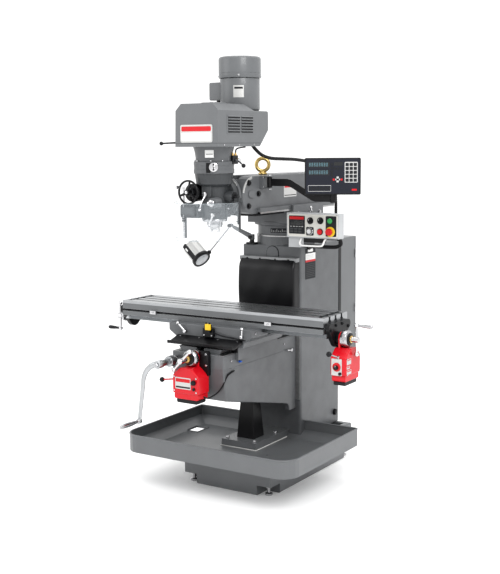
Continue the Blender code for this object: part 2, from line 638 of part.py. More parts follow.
def eye_bolt():
    y, foot = -0.086, RAM_TOP + GAP
    obj = make("eye_bolt", turned("z", 0.0, y, ((foot, 0.024), (foot + 0.009, 0.024),
                                                (foot + 0.010, 0.014), (foot + 0.018, 0.012)), 16), M_GOLD,
               at=(0.0, y, foot))
    ring = bmesh.new()
    mid_r, wire = 0.0345, 0.0098
    rows = [[ring.verts.new(Vector(((mid_r + wire * math.cos(b)) * math.cos(a), wire * math.sin(b),
                                    (mid_r + wire * math.cos(b)) * math.sin(a))))
             for b in (math.tau * j / 8 for j in range(8))] for a in (math.tau * i / 20 for i in range(20))]
    for i in range(20):
        for j in range(8):
            ring.faces.new((rows[i][j], rows[(i + 1) % 20][j], rows[(i + 1) % 20][(j + 1) % 8],
                            rows[i][(j + 1) % 8]))
    bmesh.ops.recalc_face_normals(ring, faces=ring.faces)
    bmesh.ops.translate(ring, vec=Vector((0.0, y, 1.7440)), verts=ring.verts)
    return add(obj, spun(ring, 28.0, (0.0, y, 0.0), "Z"))


def dro_arm():
    y = DRO_PIVOT[1]
    path = ((0.150, 1.655), (0.285, 1.655), (0.420, 1.578), (0.556, 1.578))
    half = 0.019
    outline = [(x, z + half) for x, z in path] + [(x, z - half) for x, z in reversed(path)]
    obj = make("dro_arm", prism(outline, "y", y - 0.006, y + 0.006), M_BLACK,
               at=(DRO_PIVOT[0], y, 1.655), bevel=0.002)
    return add(obj, rod("z", 1.627, 1.683, *DRO_PIVOT, 0.014, 16),
               rod("z", 1.555, 1.601, *DRO_SWIVEL, 0.012, 16))


def dro_display():
    low, high = (-0.1425, -0.022, 1.6065), (0.1425, 0.023, 1.7935)
    screen = box(low, high)
    bmesh.ops.translate(screen, vec=Vector((*DRO_SWIVEL, -0.0095)), verts=screen.verts)
    spun(screen, DRO_TURN, (*DRO_SWIVEL, 0.0), "Z")
    obj = make("dro_display", screen, M_BLACK, at=(*DRO_SWIVEL, 1.68), bevel=0.004)
    return cut(obj, rod("z", 1.59, 1.6035, *DRO_SWIVEL, 0.014, 16))


# ---------------------------------------------------------------- head
def knuckle():
    disc = rod("y", -0.4900, NOD_Y - CHEEK_R - 0.006, 0.0, HEAD_Z, FLANGE_R, 32)
    obj = make("knuckle", disc, M_STEEL, at=(0.0, NOD_Y, HEAD_Z))
    tongue = [(-0.480, HEAD_Z - 0.080)] + circle(NOD_Y, HEAD_Z, 0.080, 12, 270, 450) \
        + [(-0.480, HEAD_Z + 0.080)]
    return add(obj, prism(tongue, "x", -0.0555, 0.0555))


def head_casting():
    y = SPINDLE_Y
    barrel = turned("z", 0.0, y, ((1.4625, 0.055), (1.478, 0.067), (1.640, 0.067), (1.655, 0.092),
                                  (1.708, 0.100)), 28)
    obj = make("head_casting", barrel, M_PAINT, at=(0.0, -0.4905, HEAD_Z))
    add(obj, rod("y", -0.530, -0.4905, 0.0, HEAD_Z, 0.104, 32),
        box((-0.070, y, 1.485), (0.070, -0.515, 1.70)),
        box((-0.146, -0.650, 1.482), (-0.040, -0.570, 1.550)),
        rod("y", -0.648, -0.500, -0.092, 1.614, 0.020, 16),
        rod("y", -0.628, -0.510, -0.092, 1.610, 0.046, 20),
        rod("x", 0.0, 0.112, -0.540, 1.590, 0.030, 16))
    add(obj, rod("y", -0.645, -0.575, 0.050, 1.500, 0.012, 12),
        bar([(0.060, -0.548, 1.574), (0.158, -0.548, 1.574)], ((0.010, 0.006), (0.010, 0.006))),
        rod("z", 1.376, 1.500, -0.126, -0.640, 0.005, 8))
    bore = turned("z", 0.0, y, ((1.44, QUILL_R + 0.0008), (1.698, QUILL_R + 0.0008)))
    return cut(obj, bore, box((-0.2, -0.4905, 1.40), (0.2, -0.30, 1.80)))


def gear_case():
    line = ((1.7085, 0.104), (1.770, 0.104), (1.7715, 0.094), (1.8445, 0.104))
    rear = prism(((-0.11, -0.474), (0.11, -0.474), (0.11, -0.35), (-0.11, -0.35)), "z", 1.70, 1.85)
    return cut(make("gear_case", turned("z", 0.0, SPINDLE_Y, line, 32), M_PAINT),
               rod("z", 1.70, 1.85, 0.0, SPINDLE_Y, 0.060), rear)


HOUSING_LOW, HOUSING_TOP = 1.8448, 2.060


def belt_housing():
    side = ((-0.715, HOUSING_LOW), (-0.708, HOUSING_TOP), (-0.428, HOUSING_TOP), (-0.372, 2.0280),
            (-0.245, 2.0280), (-0.238, 2.020), (-0.238, 1.930), (-0.322, HOUSING_LOW))

    def ends(inset):
        w, top = 0.130 - inset, HOUSING_TOP + 0.001 - inset
        return ((-w, HOUSING_LOW - 0.001 + inset), (-w, top - 0.036), (-w + 0.034, top),
                (w - 0.034, top), (w, top - 0.036), (w, HOUSING_LOW - 0.001 + inset))

    obj = make("belt_housing", prism(side, "x", -0.14, 0.14), M_PAINT)
    combine(obj, "INTERSECT", [prism(ends(0.0), "y", -0.8, -0.2)])
    inner = grow(((-0.710, 1.850), (-0.703, 2.050), (-0.450, 2.050), (-0.420, 2.020), (-0.245, 2.018),
                  (-0.245, 1.935), (-0.324, 1.850)), -0.004)
    cut(obj, prism(inner, "x", -0.090, 0.090), rod("z", 1.80, 1.86, 0.0, SPINDLE_Y, 0.060))
    return cut(obj, rod("z", 2.0280, 2.10, 0.0, MOTOR_Y, MOTOR_R + 0.0006, 32))


def motor():
    low = 2.0283
    obj = make("motor", turned("z", 0.0, MOTOR_Y, ((low, MOTOR_R - 0.008), (low + 0.008, MOTOR_R),
                                                   (2.200, MOTOR_R)), 32), M_PAINT)
    return add(obj, box((-0.158, -0.365, 2.088), (-0.080, -0.275, 2.182)))


def motor_cowl():
    line = ((2.2003, 0.112), (2.306, 0.112), (2.312, 0.106))
    return make("motor_cowl", turned("z", 0.0, MOTOR_Y, line, 32), M_PAINT)


def quill():
    body = turned("z", 0.0, SPINDLE_Y, ((1.4325, 0.036), (1.446, 0.041), (1.4615, 0.041),
                                        (1.4620, QUILL_R), (1.690, QUILL_R)))
    obj = make("quill", body, M_STEEL, at=(0.0, SPINDLE_Y, 1.45))
    return cut(obj, rod("z", 1.42, 1.70, 0.0, SPINDLE_Y, 0.0280))


def spindle():
    line = ((1.405, 0.0225), (1.4075, 0.025), (1.4318, 0.025), (1.4320, 0.0265), (1.684, 0.0265))
    obj = make("spindle", turned("z", 0.0, SPINDLE_Y, line), M_CHROME, at=(0.0, SPINDLE_Y, 1.405))
    taper = turned("z", 0.0, SPINDLE_Y, ((1.40, 0.0160), (1.408, 0.0158), (1.505, 0.0122)), 16)
    return cut(obj, taper)


def feed_handwheel():
    x, y, z = -0.092, -0.662, 1.614
    obj = make("feed_handwheel", rod("y", -0.680, -0.6485, x, z, 0.014, 16), M_BLACK, at=(x, y, z))
    rim = turned("y", x, z, ((-0.669, 0.060), (-0.665, 0.0635), (-0.659, 0.0635), (-0.655, 0.060)), 28)
    wheel = make("wheel_rim", rim)
    wheel.hide_render, wheel.display_type = True, "WIRE"
    cut(wheel, rod("y", -0.70, -0.60, x, z, 0.0535, 28))
    mod = obj.modifiers.new("rim", "BOOLEAN")
    mod.operation, mod.solver, mod.object = "UNION", "EXACT", wheel
    for turn in (80.0, 200.0, 320.0):
        spoke = bar([(x, y, z), (x + 0.057, y, z)], ((0.006, 0.004), (0.005, 0.003)))
        add(obj, spun(spoke, -turn, (x, y, z), "Y"))
    grip = turned("y", x - 0.052, z + 0.026, ((-0.660, 0.005), (-0.678, 0.006), (-0.684, 0.009),
                                              (-0.699, 0.007)), 10)
    return add(obj, grip)


def chip_guard():
    centre, radius, wall = (-0.035, SPINDLE_Y), 0.183, 0.0022
    arc = circle(*centre, radius, 20, 190, 360)
    inner = list(reversed(circle(*centre, radius - wall, 20, 190, 360)))
    hinge = (0.147, SPINDLE_Y + 0.012)
    obj = make("chip_guard", prism(arc + inner, "z", 1.371, 1.560), M_CLEAR, at=(*hinge, 1.46))
    return add(obj, rod("z", 1.420, 1.5632, *hinge, 0.006, 10),
               box((0.141, SPINDLE_Y - 0.004, 1.45), (0.150, SPINDLE_Y + 0.014, 1.54)))


def head_controls():
    lever("quill_lock", (0.050, -0.6505, 1.500), (0.030, -0.6560, 1.448), 0.0045, 0.008, M_CHROME, "y",
          0.010, 0.010)
    lever("speed_lever", (-0.1365, -0.690, 1.866), (-0.237, -0.690, 1.863), 0.004, 0.0095, M_BLACK, "x",
          0.010, 0.0125)
    lever("brake_lever", (0.120, -0.520, 1.775), (0.168, -0.540, 1.748), 0.004, 0.010, M_BLACK, "x",
          0.010, 0.0260)
    turn = math.radians(33.0)
    way = Vector((math.sin(turn), -math.cos(turn), 0.0))
    root = Vector((0.0, SPINDLE_Y, 1.742)) + way * 0.1046
    dial = [(0.0, 0.022), (0.006, 0.022), (0.007, 0.012), (0.020, 0.010)]
    make("range_dial", round_cone(root, way, dial, 16), M_CHROME, at=root)


# ---------------------------------------------------------------- conduit
def smooth_route(points, count):
    """Catmull-Rom curve through the points, read at equal parameter steps."""
    pts = [Vector(p) for p in points]
    pts = [pts[0] * 2 - pts[1]] + pts + [pts[-1] * 2 - pts[-2]]
    spans = len(pts) - 3
    route = []
    for k in range(count + 1):
        place = min(k * spans / count, spans - 1e-9)
        i = int(place)
        t = place - i
        a, b, c, d = pts[i:i + 4]
        route.append(0.5 * ((2 * b) + (c - a) * t + (2 * a - 5 * b + 4 * c - d) * t * t
                            + (3 * b - a - 3 * c + d) * t ** 3))
    return route


CONDUIT_R = 0.0095
CONDUIT_FRONT = ((0.060, -0.300, 1.864), (0.066, -0.268, 1.832), (0.078, -0.215, 1.797), (0.094, -0.150, 1.780),
                 (0.112, -0.060, 1.775), (0.132, 0.045, 1.770), (0.150, 0.160, 1.757),
                 (0.158, 0.270, 1.735), (0.150, 0.365, 1.705))
CONDUIT_REAR = ((0.150, 0.3658, 1.7047), (0.140, 0.440, 1.680), (0.122, 0.520, 1.630),
                (0.106, 0.575, 1.540), (0.100, 0.590, 1.430), (0.100, 0.592, 1.3155))


def conduit(name, points, count):
    curve = bpy.data.curves.new(name, "CURVE")
    curve.dimensions = "3D"
    curve.bevel_depth, curve.bevel_resolution, curve.use_fill_caps = CONDUIT_R, 2, True
    curve.render_resolution_u = 0
    spline = curve.splines.new("POLY")
    route = smooth_route(points, count)
    spline.points.add(len(route) - 1)
    for spot, place in zip(spline.points, route):
        spot.co = (*place, 1.0)
    obj = bpy.data.objects.new(name, curve)
    bpy.context.scene.collection.objects.link(obj)
    curve.materials.append(M_RUBBER)
    return obj


# ---------------------------------------------------------------- the whole machine
def build():
    base()
    chip_tray()
    column()
    screw_pedestal()
    way_cover()
    cabinet()
    cabinet_door()
    control_box()
    controls()
    lamp()

    knee()
    knee_screw()
    y_feed()
    y_crank()
    knee_crank()
    lever("y_feed_lever", (-0.0905, -0.800, 0.665), (-0.176, -0.800, 0.652), 0.0035, 0.0135, M_BLACK, "x",
          0.010, 0.020)
    lever("knee_lock", (0.1660, -0.060, 0.716), (0.170, -0.105, 0.722), 0.004, 0.006, M_CHROME, "x",
          0.009, 0.011)

    saddle()
    apron()
    limit_switch()
    lever("saddle_lock", (-0.150, -0.6305, 0.882), (-0.186, -0.644, 0.926), 0.0045, 0.0080, M_CHROME, "y",
          0.009, 0.020)
    lever("table_lock", (0.205, -0.6305, 0.882), (0.214, -0.640, 0.926), 0.0045, 0.0080, M_CHROME, "y",
          0.009, 0.020)

    table()
    bearing("bearing_left", -1)
    bearing("bearing_right", 1)
    table_screw()
    table_cranks()
    feed_unit("x_feed", "x", 0.6760, 1, X_SCREW_Y, X_SCREW_Z, 0.068)
    lever("x_feed_lever", (0.7000, -0.5290, 0.812), (0.6950, -0.602, 0.838), 0.0035, 0.0135, M_BLACK, "y",
          0.010, 0.016)
    face = X_SCREW_Y - 0.0803
    make("x_feed_knob", turned("y", 0.692, 0.757, ((face, 0.013), (face - 0.014, 0.011)), 14), M_BLACK,
         at=(0.692, face, 0.757))

    turret()
    ram()
    eye_bolt()
    dro_arm()
    dro_display()

    knuckle()
    head_casting()
    gear_case()
    belt_housing()
    motor()
    motor_cowl()
    quill()
    spindle()
    feed_handwheel()
    chip_guard()
    head_controls()

    conduit("conduit_front", CONDUIT_FRONT, 26)
    conduit("conduit_rear", CONDUIT_REAR, 18)


build()
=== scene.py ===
"""Looks for the vertical knee milling machine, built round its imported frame."""
import math
import random

import bmesh
import bpy
from mathutils import Matrix, Vector
from mathutils.geometry import convex_hull_2d


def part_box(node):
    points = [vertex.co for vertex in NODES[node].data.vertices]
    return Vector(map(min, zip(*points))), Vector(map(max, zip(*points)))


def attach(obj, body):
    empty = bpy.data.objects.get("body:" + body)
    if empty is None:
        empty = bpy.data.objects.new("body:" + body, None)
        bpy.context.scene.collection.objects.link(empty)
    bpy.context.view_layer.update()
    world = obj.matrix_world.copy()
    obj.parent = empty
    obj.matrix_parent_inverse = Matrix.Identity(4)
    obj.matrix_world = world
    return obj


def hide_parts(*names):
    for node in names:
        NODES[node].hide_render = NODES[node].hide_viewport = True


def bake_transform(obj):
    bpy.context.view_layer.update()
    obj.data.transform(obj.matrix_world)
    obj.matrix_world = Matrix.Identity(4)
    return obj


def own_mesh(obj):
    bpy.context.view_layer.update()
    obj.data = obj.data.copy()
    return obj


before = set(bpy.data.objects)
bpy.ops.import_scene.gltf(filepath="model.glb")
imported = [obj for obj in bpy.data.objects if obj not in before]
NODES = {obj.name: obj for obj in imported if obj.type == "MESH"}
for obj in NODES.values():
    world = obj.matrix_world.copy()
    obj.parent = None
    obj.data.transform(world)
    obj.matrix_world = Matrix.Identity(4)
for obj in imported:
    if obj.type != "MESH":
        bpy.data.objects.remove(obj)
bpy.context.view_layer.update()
random.seed(7)


# ---------------------------------------------------------------- materials
def finish(name, colour, rough, metal=0.0, coat=0.0, mottle=0.08, patch=7.0, grain=700.0, bump=0.00004,
        streak=(1.0, 1.0, 1.0), rough_spread=0.1, alpha=1.0, glow=0.0, spec=0.5):
    """A Principled material with patchy colour, uneven gloss and a fine surface grain."""
    mat = bpy.data.materials.new(name)
    mat.use_nodes = True
    tree = mat.node_tree
    shader = tree.nodes["Principled BSDF"]
    link = tree.links.new
    coords = tree.nodes.new("ShaderNodeTexCoord")
    stretch = tree.nodes.new("ShaderNodeMapping")
    stretch.inputs["Scale"].default_value = streak
    link(coords.outputs["Object"], stretch.inputs["Vector"])

    def noise(scale, detail, source):
        node = tree.nodes.new("ShaderNodeTexNoise")
        node.inputs["Scale"].default_value = scale
        node.inputs["Detail"].default_value = detail
        link(source, node.inputs["Vector"])
        return node.outputs["Fac"]

    patches = noise(patch, 5.0, coords.outputs["Object"])
    fine = noise(grain, 3.0, stretch.outputs["Vector"])
    tone = tree.nodes.new("ShaderNodeMapRange")
    tone.inputs["From Min"].default_value, tone.inputs["From Max"].default_value = 0.3, 0.7
    tone.inputs["To Min"].default_value, tone.inputs["To Max"].default_value = 1.0 - mottle, 1.0 + mottle
    link(patches, tone.inputs["Value"])
    shade = tree.nodes.new("ShaderNodeVectorMath")
    shade.operation = "SCALE"
    shade.inputs[0].default_value = colour
    link(tone.outputs["Result"], shade.inputs["Scale"])
    result = shade.outputs["Vector"]
    link(result, shader.inputs["Base Color"])
    gloss = tree.nodes.new("ShaderNodeMapRange")
    gloss.inputs["To Min"].default_value = max(rough - rough_spread, 0.02)
    gloss.inputs["To Max"].default_value = min(rough + rough_spread, 1.0)
    link(fine, gloss.inputs["Value"])
    link(gloss.outputs["Result"], shader.inputs["Roughness"])
    relief = tree.nodes.new("ShaderNodeBump")
    relief.inputs["Strength"].default_value = 1.0
    relief.inputs["Distance"].default_value = bump
    link(fine, relief.inputs["Height"])
    link(relief.outputs["Normal"], shader.inputs["Normal"])
    shader.inputs["Metallic"].default_value = metal
    shader.inputs["Coat Weight"].default_value = coat
    shader.inputs["Coat Roughness"].default_value = 0.12
    shader.inputs["Alpha"].default_value = alpha
    shader.inputs["Specular IOR Level"].default_value = spec
    if glow:
        shader.inputs["Emission Color"].default_value = (*colour, 1.0)
        shader.inputs["Emission Strength"].default_value = glow
    mat.diffuse_color = (*colour, alpha)
    return mat


PAINT = finish("grey_enamel", (0.128, 0.133, 0.138), 0.36, coat=0.2, spec=0.4, mottle=0.05, grain=420, bump=0.00005)
CAST = finish("cast_enamel", (0.104, 0.108, 0.113), 0.42, coat=0.12, spec=0.4, mottle=0.1, patch=12, grain=240,
    bump=0.0002)
DEEP = finish("deep_enamel", (0.044, 0.047, 0.05), 0.42, coat=0.12, spec=0.4, mottle=0.1, patch=9, grain=260,
    bump=0.00016)
RED = finish("feed_enamel", (0.52, 0.004, 0.013), 0.32, coat=0.25, spec=0.35, mottle=0.05, grain=380, bump=0.00006)
BLACK = finish("black_enamel", (0.006, 0.006, 0.007), 0.36, coat=0.05, spec=0.3, mottle=0.15, grain=300, bump=0.0001)
SATIN = finish("black_moulding", (0.009, 0.0095, 0.011), 0.45, spec=0.3, mottle=0.1, grain=1400, bump=0.00005)
RUBBER = finish("rubber_sheet", (0.006, 0.006, 0.007), 0.34, spec=0.35, mottle=0.25, patch=5, grain=900, bump=0.00006,
    rough_spread=0.1)
HOSE = finish("hose_rubber", (0.007, 0.007, 0.008), 0.45, spec=0.3, mottle=0.2, grain=900, bump=0.00006)
STEEL = finish("ground_steel", (0.4, 0.41, 0.42), 0.3, metal=1.0, mottle=0.05, patch=9, grain=160, bump=0.00003,
    streak=(1.0, 14.0, 14.0), rough_spread=0.09)
WAYS = finish("scraped_ways", (0.4, 0.4, 0.4), 0.34, metal=1.0, mottle=0.12, patch=60, grain=300, bump=0.00003)
TURNED = finish("turned_steel", (0.44, 0.44, 0.45), 0.24, metal=1.0, mottle=0.06, patch=14, grain=500, bump=0.00002)
CHROME = finish("bright_plate", (0.6, 0.6, 0.61), 0.09, metal=1.0, mottle=0.04, grain=300, bump=0.00001,
    rough_spread=0.05)
ALLOY = finish("cast_alloy", (0.44, 0.45, 0.46), 0.3, metal=1.0, mottle=0.07, patch=20, grain=500, bump=0.00006)
BRASS = finish("brass", (0.72, 0.5, 0.2), 0.25, metal=1.0, mottle=0.1, patch=30, grain=500, bump=0.00002)
GOLD = finish("yellow_zinc", (0.56, 0.42, 0.17), 0.32, metal=1.0, mottle=0.16, patch=40, grain=400, bump=0.00004)
CLEAR = finish("clear_sheet", (0.7, 0.76, 0.8), 0.06, mottle=0.02, grain=200, bump=0.00001, alpha=0.09)
WHITE = finish("white_print", (0.75, 0.75, 0.74), 0.45, mottle=0.03, grain=600, bump=0.00001)
SILVER = finish("silver_plate", (0.5, 0.5, 0.49), 0.4, metal=0.4, mottle=0.04, grain=500, bump=0.00001)
KEYS = finish("key_caps", (0.014, 0.015, 0.018), 0.5, spec=0.3, mottle=0.05, grain=900, bump=0.00002)
SLATE = finish("readout_face", (0.013, 0.015, 0.024), 0.45, spec=0.3, mottle=0.06, grain=900, bump=0.00002)
WINDOW = finish("display_window", (0.006, 0.007, 0.008), 0.12, mottle=0.05, grain=300, bump=0.00001, coat=0.5)
REDKEY = finish("red_plastic", (0.5, 0.008, 0.014), 0.32, coat=0.1, spec=0.35, mottle=0.04, grain=700, bump=0.00002)
GREEN = finish("green_plastic", (0.02, 0.3, 0.07), 0.3, coat=0.3, mottle=0.04, grain=700, bump=0.00002)
YELLOW = finish("yellow_plastic", (0.75, 0.5, 0.02), 0.4, mottle=0.05, grain=700, bump=0.00003)
BLUE = finish("blue_fitting", (0.02, 0.1, 0.42), 0.35, mottle=0.05, grain=700, bump=0.00002)
LENS = finish("lamp_lens", (0.8, 0.82, 0.84), 0.2, mottle=0.05, grain=300, bump=0.0001, coat=0.6)
PORCELAIN = finish("cream_plate", (0.62, 0.61, 0.57), 0.42, mottle=0.03, grain=700, bump=0.00001)
BOXGREY = finish("light_enamel", (0.42, 0.43, 0.44), 0.36, coat=0.3, mottle=0.04, grain=420, bump=0.00005)
STRIP = finish("strip_plate", (0.235, 0.24, 0.245), 0.4, metal=0.2, mottle=0.06, grain=420, bump=0.00005)
SEAL = finish("pale_seal", (0.62, 0.62, 0.6), 0.5, mottle=0.1, patch=30, grain=500, bump=0.00006)
# painted shade: a near-black sheet set in grooves, gaps, vents, louvres and grille slots to stand for the shade inside
# them
PAINTED_SHADE = finish("painted_shade", (0.009, 0.009, 0.01), 0.5, spec=0.2, mottle=0.1, grain=700, bump=0.00004)


# a slot name for each material; piece() looks it up when no slot is named, but keeps it nowhere
SLOTS = {mat.name: slot for slot, mats in (("machine_paint", (PAINT, BOXGREY, STRIP, PORCELAIN)),
    ("cast_iron", (CAST,)), ("feed_red", (RED,)), ("black_metal", (BLACK, KEYS, PAINTED_SHADE)),
    ("black_plastic", (SATIN, WINDOW)), ("rubber", (RUBBER, HOSE, SEAL)), ("steel",
    (TURNED, SILVER, WAYS, DEEP, BLUE, WHITE)), ("chrome", (CHROME, BRASS)), ("cast_aluminium", (ALLOY, LENS)),
    ("red_plastic", (REDKEY, YELLOW)), ("gold_zinc", (GOLD,)), ("clear_guard", (CLEAR,))) for mat in mats}


# ---------------------------------------------------------------- shapes
AXES = {"x": ("y", "z"), "y": ("x", "z"), "z": ("x", "y")}
SPINDLE_Y, TURRET_Y = -0.56, 0.165
NOD_Y, NOD_Z = -0.37, 1.59
TABLE_SCREW = (-0.44, 0.89)  # y, z
DIAL_R = 0.0425


def point(axis, along, u, v):
    place = {axis: along, AXES[axis][0]: u, AXES[axis][1]: v}
    return Vector((place["x"], place["y"], place["z"]))


def loft(rings):
    """A closed solid through rings of equally many points, with flat ends."""
    bm = bmesh.new()
    rows = [[bm.verts.new(p) for p in ring] for ring in rings]
    count = len(rows[0])
    for a, b in zip(rows, rows[1:]):
        for i in range(count):
            j = (i + 1) % count
            bm.faces.new((a[i], a[j], b[j], b[i]))
    bm.faces.new(list(reversed(rows[0])))
    bm.faces.new(rows[-1])
    bmesh.ops.recalc_face_normals(bm, faces=bm.faces)
    return bm


def box(low, high):
    bm = bmesh.new()
    bmesh.ops.create_cube(bm, size=1.0)
    low, high = Vector(low), Vector(high)
    for vert in bm.verts:
        vert.co = Vector(low[i] + (vert.co[i] + 0.5) * (high[i] - low[i]) for i in range(3))
    return bm


def circle(u, v, radius, sides=32, first=0.0, last=360.0):
    full = abs(last - first) >= 360.0
    steps = sides if full else sides + 1
    span = math.radians(last - first) / sides
    angle = math.radians(first)
    return [(u + radius * math.cos(angle + span * i), v + radius * math.sin(angle + span * i)) for i in range(steps)]


def prism(outline, axis, start, end):
    return loft([[point(axis, s, u, v) for u, v in outline] for s in (start, end)])


def turned(axis, u, v, profile, sides=40):
    """A solid of revolution: the profile is (distance along the axis, radius)."""
    return loft([[point(axis, s, *p) for p in circle(u, v, r, sides)] for s, r in profile])


def rod(axis, start, end, u, v, radius, sides=32, soft=0.0):
    """A round bar, with its end edges rounded by soft."""
    if not soft:
        return turned(axis, u, v, ((start, radius), (end, radius)), sides)
    way = math.copysign(soft, end - start)
    return turned(axis, u, v, ((start, radius - soft), (start + way * 0.3, radius - soft * 0.3),
        (start + way, radius), (end - way, radius), (end - way * 0.3, radius - soft * 0.3), (end, radius - soft)),
        sides)


def ball(centre, radius):
    bm = bmesh.new()
    bmesh.ops.create_uvsphere(bm, u_segments=28, v_segments=18, radius=radius)
    bmesh.ops.translate(bm, vec=Vector(centre), verts=bm.verts)
    return bm


def hull(circles, sides=24):
    points = [Vector(p) for u, v, r in circles for p in circle(u, v, r, sides)]
    return [tuple(points[i]) for i in convex_hull_2d(points)]


def rounded(u0, v0, u1, v1, radius, sides=6):
    radii = radius if isinstance(radius, tuple) else (radius,) * 4
    outline = []
    for (u, v, start), r in zip(((u0, v0, 180), (u1, v0, 270), (u1, v1, 0), (u0, v1, 90)), radii):
        outline += circle(u + r if u == u0 else u - r, v + r if v == v0 else v - r, r, sides, start, start + 90)
    return outline


def turn_to(aim):
    return Vector((0.0, 0.0, 1.0)).rotation_difference(Vector(aim).normalized()).to_matrix()


def along(start, aim, profile, sides=28):
    """A turned shape along any direction; the profile is (distance, radius)."""
    turn = turn_to(aim)
    start = Vector(start)
    return loft([[start + turn @ Vector((*p, s)) for p in circle(0.0, 0.0, r, sides)] for s, r in profile])


def sweep(path, radii, sides=16, flat=(1.0, 1.0)):
    """A tube along a path, carried without twist; radii is one number or one for each point."""
    path = [Vector(p) for p in path]
    radii = radii if isinstance(radii, (list, tuple)) else [radii] * len(path)
    tangents = [(path[min(i + 1, len(path) - 1)] - path[max(i - 1, 0)]).normalized() for i in range(len(path))]
    side = tangents[0].orthogonal().normalized()
    if abs(tangents[0].y) < 0.9:
        side = tangents[0].cross(Vector((0.0, 1.0, 0.0))).normalized()
    rings = []
    for here, way, r in zip(path, tangents, radii):
        side = (side - way * side.dot(way)).normalized()
        deep = way.cross(side)
        rings.append([here + side * (r * flat[0] * math.cos(a)) + deep * (r * flat[1] * math.sin(a))
            for a in (math.tau * k / sides for k in range(sides))])
    return loft(rings)


def smooth_route(points, count):
    """A Catmull-Rom curve through the points."""
    pts = [Vector(p) for p in points]
    pts = [pts[0] * 2 - pts[1]] + pts + [pts[-1] * 2 - pts[-2]]
    spans = len(pts) - 3
    route = []
    for k in range(count + 1):
        place = min(k * spans / count, spans - 1e-9)
        i = int(place)
        t = place - i
        a, b, c, d = pts[i:i + 4]
        route.append(0.5 * ((2 * b) + (c - a) * t + (2 * a - 5 * b + 4 * c - d) * t * t
            + (3 * b - a - 3 * c + d) * t ** 3))
    return route


def spun(bm, angle, centre, axis):
    bmesh.ops.rotate(bm, cent=Vector(centre), verts=bm.verts, matrix=Matrix.Rotation(math.radians(angle), 3, axis))
    return bm


def moved(bm, *shift):
    bmesh.ops.translate(bm, vec=Vector(shift), verts=bm.verts)
    return bm


def gather(*shapes):
    """Several meshes as one."""
    whole = bmesh.new()
    for bm in shapes:
        mesh = bpy.data.meshes.new("part")
        bm.to_mesh(mesh)
        bm.free()
        whole.from_mesh(mesh)
        bpy.data.meshes.remove(mesh)
    return whole


def piece(name, body, mat, *shapes, replaces=(), slot=None, bevel=0.0, segments=2, angle=32.0, smooth=40.0):
    """One visible piece, riding on a body."""
    bm = gather(*shapes)
    mesh = bpy.data.meshes.new(name)
    bm.to_mesh(mesh)
    bm.free()
    obj = bpy.data.objects.new(name, mesh)
    bpy.context.scene.collection.objects.link(obj)
    mesh.materials.append(mat)
    mesh.shade_smooth()
    mesh.set_sharp_from_angle(angle=math.radians(smooth))
    if bevel:
        soften(obj, bevel, segments, angle)
    if body:
        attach(obj, body)
    if replaces:
        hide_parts(*replaces)
    slot or SLOTS[mat.name]
    return obj


def soften(obj, width, segments=2, angle=32.0):
    mod = obj.modifiers.new("soft_edges", "BEVEL")
    mod.width, mod.segments, mod.limit_method = width, segments, "ANGLE"
    mod.angle_limit = math.radians(angle)
    mod.harden_normals = True
    return obj


def dress(node, mat, bevel=0.0, segments=2):
    """Give a CAD node its material and soft edges."""
    obj = NODES[node]
    mesh = obj.data
    if len(mesh.materials):
        for i in range(len(mesh.materials)):
            mesh.materials[i] = mat
    else:
        mesh.materials.append(mat)
    if bevel:
        soften(obj, bevel, segments, 40.0)


def socket_screw(place, aim, radius=0.006, height=0.006):
    """A cap screw with a hexagon socket."""
    turn = turn_to(aim)
    place = Vector(place)
    hexagon = []
    for k in range(12):
        a = math.tau * k / 12
        reach = 0.52 if k % 2 == 0 else 0.52 * math.cos(math.radians(30))
        hexagon.append((reach * radius * math.cos(a), reach * radius * math.sin(a)))
    rings = []
    for s, r in ((0.0, radius), (height * 0.85, radius), (height, radius * 0.88)):
        rings.append([place + turn @ Vector((*p, s)) for p in circle(0, 0, r, 12)])
    for s in (height, height * 0.35):
        rings.append([place + turn @ Vector((*p, s)) for p in hexagon])
    return loft(rings)


def cap_screws(aim, radius, height, places):
    return [socket_screw(place, aim, radius, height) for place in places]


def hex_bolt(place, aim, radius=0.008, height=0.006):
    """A hexagon head on a washer."""
    turn = turn_to(aim)
    place = Vector(place)
    washer = along(place, aim, ((0.0, radius * 1.35), (height * 0.25, radius * 1.35)), 24)
    rings = [[place + turn @ Vector((*p, s)) for p in circle(0, 0, r, 6)] for s,
        r in ((height * 0.2, radius), (height * 0.88, radius), (height, radius * 0.86))]
    return gather(washer, loft(rings))


def ticks(axis, along_low, along_high, u, v, radius, count, long_each=5, width=0.0007, proud=0.00025, grow=0.5):
    """Graduation marks round a dial whose axis is a main axis."""
    marks = []
    for k in range(count):
        a = math.tau * k / count
        top = along_high if k % long_each == 0 else along_low + (along_high - along_low) * grow
        du, dv = math.cos(a), math.sin(a)
        side = (-dv * width / 2, du * width / 2)
        ring = []
        for s in (along_low, top):
            corners = [(radius - 0.001, -1), (radius + proud, -1), (radius + proud, 1), (radius - 0.001, 1)]
            ring.append([point(axis, s, u + du * r + side[0] * e, v + dv * r + side[1] * e) for r, e in corners])
        marks.append(loft(ring))
    return gather(*marks)


def plate(name, body, mat, axis, face, u0, v0, u1, v1, thick, corner=0.002, slot=None, **more):
    """A thin plate with rounded corners standing proud of a face; thick may be negative."""
    return piece(name, body, mat, prism(rounded(u0, v0, u1, v1, corner), axis, face, face + thick), slot=slot, **more)


# ---------------------------------------------------------------- stand
def stand_looks():
    dress("base", PAINT, 0.004, 3)
    dress("chip_tray", PAINT, 0.0015)
    dress("screw_pedestal", BLACK, 0.0025)
    dress("column", CAST, 0.002)
    dress("cabinet", PAINT, 0.002)
    dress("cabinet_door", PAINT, 0.002)
    dress("control_box", BOXGREY, 0.002)
    tray_looks()
    column_looks()
    cover_looks()
    cabinet_looks()


